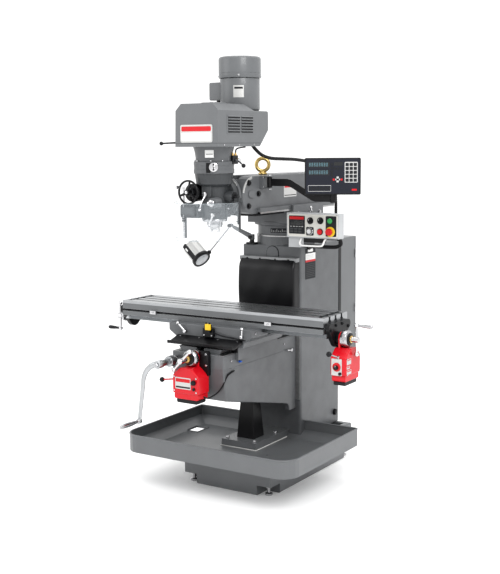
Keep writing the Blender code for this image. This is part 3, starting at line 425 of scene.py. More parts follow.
def tray_looks():
    (x0, y0, z0), (x1, y1, z1) = (tuple(c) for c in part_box("chip_tray"))
    # the rolled rim
    edge = rounded(x0 + 0.003, y0 + 0.003, x1 - 0.003, y1 - 0.003, (0.092, 0.092, 0.012, 0.012), 12)
    gap = 0.19
    ring = [Vector((u, v, z1 - 0.001)) for u, v in edge]
    start = next(i for i, p in enumerate(ring) if p.y > y1 - 0.01 and p.x < x1 - 0.016)
    path = ring[start:] + ring[:start]
    path = [p for p in path if not (p.y > y1 - 0.004 and abs(p.x) < gap)]
    left = list(path)
    left.insert(0, Vector((-gap - 0.006, y1 - 0.003, z1 - 0.001)))
    left.append(Vector((gap + 0.006, y1 - 0.003, z1 - 0.001)))
    piece("tray_rim", "stand", PAINT, sweep(left, 0.0052, 12))
    # cover panel on the right of the floor, with its screws
    floor = z0 + 0.0066
    plate("tray_cover_panel", "stand", PAINT, "z", floor, 0.205, -0.58, 0.43, -0.395, 0.0022, 0.01, bevel=0.0008)
    corners = [(0.217, -0.568), (0.418, -0.568), (0.217, -0.407), (0.418, -0.407)]
    piece("tray_panel_screws", "stand", TURNED, *cap_screws((0, 0, 1), 0.005, 0.003,
        ((x, y, floor + 0.0021) for x, y in corners)))
    # raised rim round the drain hole
    rim = [box((-0.467, -0.214, floor - 0.0003), (-0.373, -0.207, floor + 0.003)),
        box((-0.467, -0.108, floor - 0.0003), (-0.373, -0.101, floor + 0.003)), box((-0.467, -0.214, floor - 0.0003),
        (-0.459, -0.101, floor + 0.003)), box((-0.381, -0.214, floor - 0.0003), (-0.373, -0.101, floor + 0.003))]
    piece("tray_drain_frame", "stand", PAINT, *rim, bevel=0.0008)
    # sealing bead round the plinth and the column
    bead = [(-0.116, -0.004), (-0.116, -0.359), (0.116, -0.359), (0.116, -0.004)]
    piece("plinth_seal", "stand", SEAL, sweep([(x, y, floor + 0.001) for x, y in bead], 0.003, 8))
    piece("column_seal", "stand", SEAL, sweep([(-0.194, 0.046, floor + 0.001), (-0.194, -0.004, floor + 0.001),
        (-0.117, -0.004, floor + 0.001)], 0.003, 8), sweep([(0.194, 0.046, floor + 0.001),
        (0.194, -0.004, floor + 0.001), (0.117, -0.004, floor + 0.001)], 0.003, 8))
    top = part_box("base")[1][2]
    bolts = [(-0.088, -0.33), (0.088, -0.33), (-0.088, -0.11), (0.088, -0.11)]
    piece("plinth_bolts", "stand", TURNED, *cap_screws((0, 0, 1), 0.01, 0.01, ((x, y, top) for x, y in bolts)))
    # levelling screws in the base's corner notches
    feet = []
    for x in (-0.243, 0.243):
        for y in (-0.435, 0.415):
            feet.append(turned("z", x, y, ((0.0, 0.02), (0.01, 0.02), (0.012, 0.012), (0.015, 0.009), (0.058, 0.009)),
                20))
            feet.append(loft([[Vector((x + r * math.cos(a), y + r * math.sin(a), z))
                for a in (math.tau * k / 6 for k in range(6))] for z, r in ((0.04, 0.016), (0.0545, 0.016))]))
    piece("levelling_screws", "stand", TURNED, *feet)
    # plates on the base's sides
    piece("base_side_plates", "stand", PAINT, prism(rounded(-0.3, 0.085, 0.28, 0.165, 0.02), "x", 0.2795, 0.2825),
        prism(rounded(-0.3, 0.085, 0.28, 0.165, 0.02), "x", -0.2795, -0.2825), slot="dark_paint", bevel=0.001)
    screws = [(s * 0.2824, y, z) for s in (-1, 1) for y in (-0.285, 0.265) for z in (0.1, 0.15)]
    piece("base_plate_screws", "stand", TURNED, *(socket_screw(p, (math.copysign(1, p[0]), 0, 0), 0.006, 0.003)
        for p in screws))


def column_looks():
    face = -0.0004
    # clamp strip over the way cover, with its four screws
    piece("cover_strip", "stand", STRIP, box((-0.186, -0.04, 1.205), (0.186, -0.002, 1.227)), bevel=0.0015)
    piece("cover_strip_screws", "stand", BLACK, *cap_screws((0, -1, 0), 0.005, 0.0035,
        ((x, -0.0398, 1.216) for x in (-0.135, -0.05, 0.05, 0.135))))
    # arched cover on the column front above the strip
    def arch(r):
        return [(0.01 - r, 1.2275)] + circle(0.01, 1.248, r, 24, 180, 0) + [(0.01 + r, 1.2275)]
    # a thin dark outline round the cover: painted shade of the gap between it and the column
    piece("column_arch_gap_shade", "stand", PAINTED_SHADE, prism(arch(0.0405), "y", -0.0012, 0.001))
    piece("column_arch", "stand", CAST, prism(arch(0.0375), "y", -0.005, 0.001), bevel=0.002, segments=3)
    # label plate on the right side
    side = 0.1902
    def label(name, mat, y0, z0, y1, z1, proud, slot):
        piece(name, "stand", mat, prism(rounded(y0, z0, y1, z1, 0.002), "x", side, side + proud), slot=slot)
    label("column_label", KEYS, 0.055, 1.1, 0.17, 1.272, 0.001, "black_plastic")
    label("column_label_white", WHITE, 0.056, 1.208, 0.169, 1.245, 0.0014, "machine_paint")
    label("column_label_tag", WHITE, 0.082, 1.252, 0.14, 1.269, 0.0014, "machine_paint")
    label("column_label_red", REDKEY, 0.056, 1.196, 0.169, 1.2075, 0.0014, "red_plastic")
    rows = [prism(rounded(0.064, z, 0.161, z + 0.0022, 0.0008), "x", side, side + 0.0013)
        for z in (1.112, 1.122, 1.132, 1.142, 1.152, 1.162, 1.172, 1.182)]
    piece("column_label_lines", "stand", DEEP, *rows, slot="dark_paint")
    rows = [prism(rounded(0.064, z, 0.15, z + 0.0016, 0.0006), "x", side, side + 0.0017)
        for z in (1.216, 1.224, 1.232)]
    piece("column_label_marks", "stand", SILVER, *rows)
    # seal in the gap between the column and the cabinet
    piece("cabinet_seal", "stand", RUBBER, box((0.1885, 0.456, 0.42), (0.1915, 0.486, 1.2985)),
        box((-0.1915, 0.456, 0.42), (-0.1885, 0.486, 1.2985)), bevel=0.001)
    # turret clamping bolts round the collar
    spots = [(0.205 * math.cos(math.radians(a)), TURRET_Y + 0.205 * math.sin(math.radians(a)))
        for a in (-145, -35, 35, 145)]
    piece("turret_bolts", "stand", TURNED, *(hex_bolt((x, y, 1.29), (0, 0, 1), 0.01, 0.012) for x, y in spots
        if abs(x) < 0.178 and y < 0.45))
    # plug on the column's side
    piece("column_plug", "stand", BLACK, turned("x", 0.405, 0.262, ((0.189, 0.018), (0.204, 0.017), (0.207, 0.012))),
        slot="black_plastic")
    # door cover on the left side of the column
    piece("column_side_cover", "stand", PAINT, prism(rounded(0.09, 0.52, 0.375, 0.98, 0.018), "x", -0.189, -0.1925),
        bevel=0.001)
    piece("column_cover_screws", "stand", TURNED, *cap_screws((-1, 0, 0), 0.006, 0.003,
        ((-0.1923, y, z) for y in (0.104, 0.361) for z in (0.54, 0.75, 0.96))))
    # scraped faces and edges of the column ways
    strips = []
    for s in (-1, 1):
        strips.append(box((min(s * 0.14, s * 0.186), face - 0.0012, 0.42), (max(s * 0.14, s * 0.186), face + 0.001,
            0.8)))
    piece("column_way_faces", "stand", WAYS, *strips)


def cover_looks():
    """The rubber cover over the column ways: it hangs from the strip and stands off the column."""
    half, low, high, levels = 0.1815, 0.8315, 1.2195, 22

    def outline(v, inset):
        front = -0.064 + 0.0015 * math.sin(7.0 * v) + inset
        if v > 0.86:
            front += 0.027 * ((v - 0.86) / 0.14) ** 1.6
        front -= 0.0035 * math.sin(math.pi * v) ** 2
        reach, soft = half - inset + 0.0025 * math.sin(math.pi * v) ** 2, 0.014
        shape = [(-0.1835 + inset, -0.005), (-reach, front + soft + 0.014)]
        shape += [(-reach + soft + soft * math.cos(a), front + soft + soft * math.sin(a))
            for a in (math.radians(180 + 15 * k) for k in range(7))]
        shape += [(-reach + soft + 2 * (reach - soft) * k / 12, front - 0.0012 * math.sin(5.0 * k + 9.0 * v))
            for k in range(1, 12)]
        shape += [(reach - soft + soft * math.cos(a), front + soft + soft * math.sin(a))
            for a in (math.radians(270 + 15 * k) for k in range(7))]
        return shape + [(reach, front + soft + 0.014), (0.1835 - inset, -0.005)]

    rings = []
    for j in range(levels + 1):
        v = j / levels
        z = low + (high - low) * v
        loop = outline(v, 0.0) + list(reversed(outline(v, 0.003)))
        rings.append([Vector((x, y, z)) for x, y in loop])
    obj = piece("rubber_way_cover", "stand", RUBBER, loft(rings), replaces=("way_cover",), smooth=60)
    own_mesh(obj)


def cabinet_looks():
    # louvres and cable gland of the cabinet, hinges and lock of its door
    slats = []
    for k in range(9):
        z = 0.52 + 0.018 * k
        slats.append(prism([(0.52, z), (0.62, z), (0.62, z + 0.004), (0.52, z + 0.004)], "x", 0.1895, 0.1935))
        slats.append(prism([(0.52, z), (0.62, z), (0.62, z + 0.004), (0.52, z + 0.004)], "x", -0.1895, -0.1935))
    piece("cabinet_louvres", "stand", PAINT, *slats, bevel=0.001)
    pins = [rod("z", z, z + 0.05, 0.1935, 0.6665, 0.0045, 14, 0.001) for z in (0.5, 0.835, 1.17)]
    piece("door_hinge_pins", "stand", TURNED, *pins)
    piece("door_panel", "door", PAINT, prism(rounded(-0.155, 0.47, 0.15, 1.25, 0.02), "y", 0.6855, 0.6885),
        bevel=0.0012)
    locks = [turned("y", -0.168, z, ((0.6855, 0.014), (0.69, 0.013), (0.692, 0.009))) for z in (0.6, 1.12)]
    piece("door_locks", "door", CHROME, *locks)
    # the key slots are thin black boxes on the lock faces: painted shade of the slots
    slots = [box((-0.176, 0.6915, z - 0.0012), (-0.16, 0.693, z + 0.0012)) for z in (0.6, 1.12)]
    piece("door_lock_slot_shade", "door", BLACK, *slots)
    piece("door_rating_plate", "door", SILVER, prism(rounded(-0.06, 1.02, 0.06, 1.1, 0.003), "y", 0.688, 0.6895))
    piece("cabinet_gland", "stand", BLACK, turned("z", 0.1, 0.592, ((1.2995, 0.018), (1.305, 0.018), (1.3055, 0.014),
        (1.318, 0.013), (1.32, 0.0105))), slot="black_plastic")


# ---------------------------------------------------------------- operator box
def controls_looks():
    for node, mat in (("start_button", GREEN), ("stop_button", REDKEY), ("estop_button", REDKEY),
            ("drive_selector", SATIN), ("light_selector", SATIN), ("speed_pot", CHROME)):
        dress(node, mat, 0.0008)
    face = -0.1002
    plate("control_panel", "stand", PORCELAIN, "y", face + 0.0004, 0.168, 1.357, 0.476, 1.479, -0.0018, 0.006,
        bevel=0.0005)
    front = face - 0.0014
    plate("status_panel", "stand", KEYS, "y", front + 0.0002, 0.178, 1.372, 0.276, 1.47, -0.003, 0.004,
        slot="black_plastic", bevel=0.0006)
    plate("status_header", "stand", REDKEY, "y", front - 0.0026, 0.182, 1.45, 0.272, 1.466, -0.0008, 0.002)
    plate("status_window", "stand", WINDOW, "y", front - 0.0026, 0.188, 1.418, 0.266, 1.444, -0.0008, 0.002)
    keys = [prism(rounded(x, 1.41, x + 0.011, 1.4135, 0.001), "y", front - 0.0026, front - 0.0034)
        for x in (0.186, 0.204, 0.222, 0.24, 0.256)]
    piece("status_marks", "stand", SILVER, *keys)
    keys = [prism(rounded(x, z, x + 0.02, z + 0.01, 0.002), "y", front - 0.0026, front - 0.004)
        for x in (0.185, 0.211, 0.237) for z in (1.379, 1.394)]
    piece("status_keys", "stand", DEEP, *keys, slot="black_plastic", bevel=0.0004)
    plate("button_strip", "stand", KEYS, "y", front + 0.0002, 0.404, 1.363, 0.468, 1.473, -0.0014, 0.006,
        slot="black_plastic", bevel=0.0005)
    plate("pot_base", "stand", KEYS, "y", front + 0.0002, 0.2845, 1.365, 0.3305, 1.411, -0.0012, 0.006,
        slot="black_plastic")
    rings = []
    for x, z, r in ((0.31, 1.445, 0.0185), (0.372, 1.447, 0.0185), (0.37, 1.387, 0.018), (0.432, 1.447, 0.018)):
        rings.append(turned("y", x, z, ((front + 0.001, r), (front - 0.0035, r), (front - 0.005, r * 0.92),
            (front - 0.005, 0.0098), (front - 0.001, 0.0092)), 36))
    piece("control_bezels", "stand", SATIN, *rings)
    piece("estop_ring", "stand", YELLOW, turned("y", 0.433, 1.389, ((front + 0.001, 0.027), (front - 0.0025, 0.027),
        (front - 0.0035, 0.025), (front - 0.0035, 0.0098), (front - 0.001, 0.0092)), 40))
    piece("pot_ring", "stand", CHROME, turned("y", 0.3075, 1.388, ((front + 0.001, 0.0195), (front - 0.0035, 0.0195),
        (front - 0.005, 0.018), (front - 0.005, 0.0098), (front - 0.001, 0.0092)), 40))
    for name, body, x, z in (("drive_pointer", "drive_knob", 0.31, 1.445), ("light_pointer", "light_knob", 0.372,
            1.447)):
        grip = hull(((x, z + 0.01, 0.0032), (x, z - 0.01, 0.0045)), 12)
        piece(name, body, SATIN, prism(grip, "y", -0.1155, -0.1235), bevel=0.001)
        piece(name + "_mark", body, WHITE, box((x - 0.0008, -0.1238, z + 0.002), (x + 0.0008, -0.1233, z + 0.0115)),
            slot="black_plastic")
    piece("pot_skirt", "pot_knob", SATIN, turned("y", 0.3075, 1.388, ((-0.1062, 0.0165), (-0.1085, 0.0165),
        (-0.1095, 0.0148), (-0.1095, 0.0085))))
    marks = []
    for k in range(11):
        a = math.radians(225 - 27 * k)
        x, z = 0.3075 + 0.0235 * math.cos(a), 1.388 + 0.0235 * math.sin(a)
        marks.append(along((x, front - 0.0001, z), (0, -1, 0), ((0, 0.0009), (0.0004, 0.0009)), 8))
    piece("pot_marks", "stand", KEYS, *marks, slot="black_plastic")
    corners = [(0.172, 1.361), (0.472, 1.361), (0.172, 1.475), (0.472, 1.475)]
    piece("panel_screws", "stand", CHROME, *cap_screws((0, -1, 0), 0.0032, 0.0018, ((x, front, z) for x, z in corners)))
    # guard handle under the box, and its cable loop
    route = smooth_route(((0.249, -0.08, 1.352), (0.249, -0.104, 1.334), (0.252, -0.113, 1.318),
        (0.268, -0.115, 1.3105), (0.322, -0.115, 1.3095), (0.377, -0.115, 1.3105), (0.392, -0.113, 1.318),
        (0.395, -0.104, 1.334), (0.395, -0.08, 1.352)), 48)
    piece("guard_handle", "stand", WHITE, sweep(route, 0.005, 14))
    piece("guard_handle_base", "stand", BLACK, prism(rounded(0.262, 1.326, 0.386, 1.3505, 0.004), "y", -0.092, -0.06),
        bevel=0.002)
    route = smooth_route(((0.462, -0.058, 1.352), (0.47, -0.056, 1.336), (0.468, -0.052, 1.318),
        (0.44, -0.046, 1.3045), (0.385, -0.042, 1.301), (0.32, -0.036, 1.3005), (0.262, -0.012, 1.298),
        (0.226, 0.04, 1.29), (0.204, 0.08, 1.282), (0.192, 0.092, 1.281)), 64)
    piece("box_cable", "stand", HOSE, sweep(route, [0.0105 if k % 2 else 0.0098 for k in range(65)], 16), smooth=60)
    piece("box_gland", "stand", BLACK, turned("z", 0.462, -0.058, ((1.3515, 0.0155), (1.343, 0.015), (1.34, 0.0125)),
        24), along((0.1895, 0.093, 1.281), (1, -0.5, 0), ((0.0, 0.0155), (0.01, 0.015), (0.012, 0.0125)), 24),
        slot="black_plastic")
    piece("box_rear_lid", "stand", BOXGREY, prism(rounded(0.166, 1.356, 0.476, 1.479, 0.008), "y", -0.0405, -0.0375),
        bevel=0.0008)


# ---------------------------------------------------------------- lamp
def lamp_looks():
    base = Vector((-0.14, 0.02, 1.33))
    elbow = Vector((-0.272, 0.0, 1.393))
    tilt = Vector((-0.419, -0.01, 1.231))
    aim = Vector((0.765, -0.165, -0.623)).normalized()
    side = Vector((0.609335, 0.499265, 0.615992))
    dress("lamp_base", BLACK, 0.002, 3)
    way = (elbow - base).normalized()
    rise = (tilt - elbow).normalized()
    piece("lamp_lower_arm", "lamp_lower", PAINT, turned("z", base.x, base.y, ((1.3157, 0.0135), (1.317, 0.015),
        (1.344, 0.015), (1.3458, 0.013)), 36), sweep([base, base + way * 0.02, base + way * 0.07, elbow - way * 0.03,
        elbow - way * 0.0155], (0.013, 0.015, 0.0125, 0.011, 0.008), 20, (1.0, 0.62)), replaces=("lamp_arm",))
    piece("lamp_swivel_knob", "lamp_lower", BLACK, along(base + Vector((0, -0.0145, 0)), (0, -1, 0),
        ((0.0, 0.006), (0.004, 0.0105), (0.012, 0.011), (0.0135, 0.0095)), 24), slot="black_plastic")
    piece("lamp_upper_rod", "lamp_upper", TURNED, turned("y", elbow.x, elbow.z, ((-0.0115, 0.0105), (-0.01, 0.012),
        (0.01, 0.012), (0.0115, 0.0105)), 32), sweep([elbow, elbow + rise * 0.1, tilt - rise * 0.013], 0.0042, 14),
        replaces=("lamp_rod",))
    piece("lamp_elbow_knob", "lamp_upper", BLACK, turned("y", elbow.x, elbow.z, ((-0.011, 0.007), (-0.015, 0.0095),
        (-0.024, 0.009), (-0.025, 0.007)), 28), slot="black_plastic")
    lens = tilt - side * 0.06 + aim * 0.012
    back = lens - aim * 0.135

    def ring(s, count):
        """A ribbed cross-section of the shell."""
        turn = turn_to(aim)
        return [back + aim * s + turn @ Vector((r * math.cos(a), r * math.sin(a), 0.0)) for a,
            r in ((math.tau * k / count, 0.0505 - (0.002 if k % 6 in (0, 1) else 0.0)) for k in range(count))]

    shell = [ring(s, 72) for s in (0.018, 0.03, 0.06, 0.09, 0.1125)]
    piece("lamp_shell", "lamp_shade", SILVER, loft(shell), replaces=("lamp_head",), slot="cast_aluminium", smooth=50)
    piece("lamp_back", "lamp_shade", SILVER, along(back, aim, ((0.0, 0.018), (0.001, 0.03), (0.005, 0.042),
        (0.012, 0.049), (0.0185, 0.0505), (0.019, 0.047)), 56), slot="cast_aluminium")
    # dark switch strip along the shell, with a pale rocker
    down = (aim.cross(side)).normalized()
    out = (down * 0.8 - side * 0.6).normalized()
    across = aim.cross(out).normalized()

    def slab(s0, s1, w, h0, h1):
        return loft([[back + aim * s + out * h + across * q for q, h in ((-w, h0), (w, h0), (w * 0.8, h1),
            (-w * 0.8, h1))] for s in (s0, s1)])

    piece("lamp_switch_strip", "lamp_shade", SATIN, slab(0.004, 0.114, 0.015, 0.042, 0.056), bevel=0.0015)
    piece("lamp_rocker", "lamp_shade", WHITE, slab(0.03, 0.055, 0.0065, 0.05, 0.0585), slot="cast_aluminium",
        bevel=0.001)
    piece("lamp_bezel", "lamp_shade", BLACK, along(back + aim * 0.1115, aim, ((0, 0.051), (0.001, 0.055),
        (0.003, 0.0562), (0.02, 0.0562), (0.0232, 0.054), (0.0232, 0.044), (0.0195, 0.043)), 64), ball(tilt, 0.0122),
        along(tilt, -side, ((0.0, 0.0085), (0.012, 0.0085)), 20))
    piece("lamp_glass", "lamp_shade", LENS, along(back + aim * 0.124, aim, ((0, 0.0438), (0.0075, 0.0438),
        (0.0085, 0.04), (0.0092, 0.015)), 56))


# ---------------------------------------------------------------- knee
def ball_crank(axis, u, v, middle, half, turn, handle, handle_at=1):
    """A two-ball crank: hub, tapered arms, balls and an optional handle that stands on one ball."""
    reach = 0.072
    way = Vector((math.cos(math.radians(turn)), math.sin(math.radians(turn))))
    parts = [turned(axis, u, v, ((middle - half, 0.0125), (middle - half + 0.002, 0.0145),
        (middle + half - 0.002, 0.0145), (middle + half, 0.0125)))]
    centre = point(axis, middle, u, v)
    for side in (-1, 1):
        tip = point(axis, middle, u + side * way.x * reach, v + side * way.y * reach)
        parts.append(sweep([centre, centre.lerp(tip, 0.5), tip], (0.0088, 0.0068, 0.0062), 18))
        parts.append(ball(tip, 0.0125))
    grip = None
    if handle:
        foot = point(axis, middle, u + handle_at * way.x * reach, v + handle_at * way.y * reach)
        out = point(axis, 1.0, 0.0, 0.0) * math.copysign(1.0, handle)
        length = abs(handle)
        shape = ((0.011, 0.0068), (0.016, 0.0075), (0.024, 0.0066), (length * 0.55, 0.0092), (length * 0.85, 0.0105),
            (length * 0.96, 0.0092), (length, 0.006))
        grip = along(foot, out, shape, 24)
        parts.append(along(foot, out, ((0.0, 0.005), (0.013, 0.005)), 16))
    return parts, grip


def knee_looks():
    dress("knee", CAST, 0.003, 3)
    dress("knee_screw", TURNED)
    # machined ways on the knee
    ways = [box((min(s * 0.117, s * 0.158), -0.7285, 0.7945), (max(s * 0.117, s * 0.158), -0.004, 0.7956))
        for s in (-1, 1)]
    piece("knee_way_tops", "knee_body", WAYS, *ways)
    piece("knee_way_lands", "knee_body", WAYS, box((-0.132, -0.7045, 0.8196), (-0.0235, -0.041, 0.8203)),
        box((0.0235, -0.7045, 0.8196), (0.132, -0.041, 0.8203)))
    # groove line and side rail along the knee's upper edge
    rails = [prism([(-0.729, 0.722), (-0.729, 0.716), (-0.01, 0.716), (-0.01, 0.722)], "x",
        min(s * 0.1595, s * 0.1615), max(s * 0.1595, s * 0.1615)) for s in (-1, 1)]
    piece("knee_side_rails", "knee_body", CAST, *rails, bevel=0.0008)
    # front cover plate
    piece("knee_front_plate", "knee_body", CAST, prism(rounded(-0.13, 0.585, -0.02, 0.7, 0.012), "y", -0.7262,
        -0.733), bevel=0.0015)
    # gib screws
    piece("knee_gib_screws", "knee_body", TURNED, *(socket_screw((s * 0.16, y, 0.76), (s, 0, 0), 0.0065, 0.004)
        for s in (-1, 1) for y in (-0.66, -0.13)))
    # lubrication block on the knee's right side
    piece("oil_fitting", "knee_body", BLUE, turned("x", -0.585, 0.745, ((0.1598, 0.007), (0.168, 0.007),
        (0.169, 0.004), (0.176, 0.004)), 20))
    y_drive()
    knee_crank_looks()
    y, z = -0.06, 0.716
    piece("knee_clamp_lever", "knee_clamp", CHROME, turned("x", y, z, ((0.1608, 0.009), (0.171, 0.009),
        (0.1722, 0.007)), 24), sweep([(0.168, y, z), (0.17, -0.085, 0.719), (0.172, -0.105, 0.722)],
        (0.0048, 0.0042, 0.0038), 14), ball((0.172, -0.107, 0.7222), 0.0062), replaces=("knee_lock",))


def dial_set(prefix, body, axis, u, v, face, out):
    """Dial, black ring and brass bush in front of a mounting face; out is the direction along the axis."""
    def at(s):
        return face + out * s

    dial = ((at(-0.012), 0.034), (at(-0.0115), 0.0418), (at(-0.01), DIAL_R), (at(0.012), DIAL_R), (at(0.014), 0.041),
        (at(0.0195), 0.035), (at(0.0195), 0.015))
    piece(prefix + "_dial", body, TURNED, turned(axis, u, v, dial, 64), slot="chrome")
    lo, hi = sorted((at(-0.006), at(0.0105)))
    piece(prefix + "_dial_marks", body, KEYS, ticks(axis, lo, hi, u, v, DIAL_R, 50))
    piece(prefix + "_dial_lock", body, BLACK, turned(axis, u, v, ((at(0.019), 0.03), (at(0.02), 0.0315),
        (at(0.0265), 0.0315), (at(0.0275), 0.03), (at(0.0275), 0.015)), 48))
    piece(prefix + "_bush", body, BRASS, turned(axis, u, v, ((at(0.027), 0.018), (at(0.028), 0.019),
        (at(0.041), 0.019), (at(0.0425), 0.0175), (at(0.0425), 0.012)), 40))


def y_drive():
    u, v = 0.0, 0.78
    feed_looks("y", "knee_body", "y", -0.7615, -1, u, v, 0.08)
    line = ((-0.06, 0.0109), (-0.72, 0.0109), (-0.787, 0.0109))
    parts, _ = ball_crank("y", u, v, -0.87, 0.018, 45.0, 0)
    neck = turned("y", u, v, ((-0.829, 0.0125), (-0.853, 0.0125)), 28)
    stub = along(point("y", -0.87, u - 0.0509, v - 0.0509), (0, -1, 0), ((0.0, 0.0058), (0.0165, 0.0058),
        (0.018, 0.0045)), 20)
    piece("cross_screw", "y_handle", TURNED, turned("y", u, v, line, 28), replaces=("y_crank",))
    dial_set("cross", "y_handle", "y", u, v, -0.787, -1)
    piece("cross_crank", "y_handle", CHROME, *parts, neck, stub)
    lever_looks("y_feed_lever", "y_feed_handle", (-0.0905, -0.8, 0.665), (-0.176, -0.8, 0.652))


def lever_looks(node, body, pivot, tip):
    """The short black-knobbed lever of a power feed."""
    pivot, tip = Vector(pivot), Vector(tip)
    way = (tip - pivot).normalized()
    piece(node + "_rod", body, REDKEY if node.startswith("y") else TURNED, sweep([pivot - way * 0.008, pivot, tip],
        (0.0085, 0.0042, 0.0038), 16), replaces=(node,), slot="steel")
    piece(node + "_knob", body, SATIN, along(tip - way * 0.01, way, ((0.0, 0.006), (0.003, 0.0105), (0.01, 0.0135),
        (0.017, 0.0125), (0.0225, 0.008), (0.0235, 0.003)), 32))


def feed_looks(prefix, body, axis, face, out, u, v, reach):
    """A red power feed hanging under its screw."""
    def span(near, far):
        return sorted((face + out * near, face + out * far))

    red = [(u - 0.08, v - 0.176), (u - 0.08, v - 0.086), (u - 0.072, v - 0.076), (u - 0.04, v - 0.047),
        (u - 0.03, v - 0.042), (u + 0.03, v - 0.042), (u + 0.04, v - 0.047), (u + 0.072, v - 0.076),
        (u + 0.08, v - 0.086), (u + 0.08, v - 0.176)]
    neck = [(u - 0.034, v - 0.045)] + circle(u, v, 0.0355, 32, 200, -20) + [(u + 0.034, v - 0.045)]
    foot = rounded(u - 0.074, v - 0.206, u + 0.074, v - 0.172, 0.01)
    piece(prefix + "_feed_case", body, RED, prism(red, axis, *span(-0.019, reach)), replaces=(prefix + "_feed",),
        bevel=0.0065, segments=4, angle=25)
    piece(prefix + "_feed_neck", body, RED, prism(neck, axis, *span(0.0008, 0.0115)), bevel=0.002)
    piece(prefix + "_feed_foot", body, RED, prism(foot, axis, *span(-0.014, reach - 0.006)), bevel=0.003)
    base = rounded(u - 0.064, v - 0.2275, u + 0.064, v - 0.204, 0.008)
    piece(prefix + "_feed_base", body, SATIN, prism(base, axis, *span(-0.009, reach - 0.013)), bevel=0.002)


def knee_crank_looks():
    x, z = -0.115, 0.757
    shaft = ((-0.64, 0.0119), (-0.7345, 0.0119), (-0.7355, 0.02), (-0.737, 0.0215), (-0.774, 0.0215),
        (-0.7755, 0.0195), (-0.7757, 0.0119), (-0.792, 0.0119))
    piece("elevating_shaft", "knee_handle", TURNED, turned("y", x, z, shaft, 40), replaces=("knee_crank",))
    ring = [(-0.7905, 0.02), (-0.7915, 0.026), (-0.7925, 0.0268), (-0.825, 0.0268), (-0.8262, 0.0255),
        (-0.8262, 0.014)]
    teeth = [spun(box((x - 0.0022, -0.824, z + 0.0262), (x + 0.0022, -0.794, z + 0.028)), 15.0 * k, (x, 0, z), "Y")
        for k in range(24)]
    piece("clutch_ring", "knee_handle", ALLOY, turned("y", x, z, ring, 48), *teeth)
    path = [Vector((x + 0.006, -0.905, z))]
    for step in range(0, 19):
        angle = math.radians(5.0 * step)
        path.append(Vector((x - 0.105 * math.sin(angle), -0.905, z - 0.115 * (1 - math.cos(angle)))))
    low = Vector((-0.25, -0.905, 0.445))
    last = path[-1]
    path += [last.lerp(low, k / 10) for k in range(1, 11)]
    radii = [0.0155 - 0.0045 * i / (len(path) - 1) for i in range(len(path))]
    hub = turned("y", x, z, ((-0.826, 0.015), (-0.828, 0.0165), (-0.88, 0.0165), (-0.884, 0.0205), (-0.922, 0.0205),
        (-0.925, 0.0185)), 40)
    eye = turned("y", low.x, low.z, ((-0.896, 0.012), (-0.898, 0.0138), (-0.912, 0.0138), (-0.914, 0.012)), 32)
    piece("elevating_crank", "knee_handle", ALLOY, hub, eye, sweep(path, radii, 20, (1.0, 0.62)))
    grip = ((-0.9135, 0.0075), (-0.918, 0.012), (-0.924, 0.0085), (-0.935, 0.0085), (-0.965, 0.0112), (-1.0, 0.0125),
        (-1.03, 0.0118), (-1.052, 0.009), (-1.06, 0.005))
    piece("elevating_grip", "knee_handle", TURNED, turned("y", low.x, low.z, grip, 32), slot="cast_aluminium")
    nut = loft([[Vector((x + r * math.cos(a), y, z + r * math.sin(a))) for a in (math.tau * k / 6 for k in range(6))]
        for y, r in ((-0.9245, 0.012), (-0.932, 0.012), (-0.9335, 0.0105))])
    piece("elevating_nut", "knee_handle", TURNED, nut)


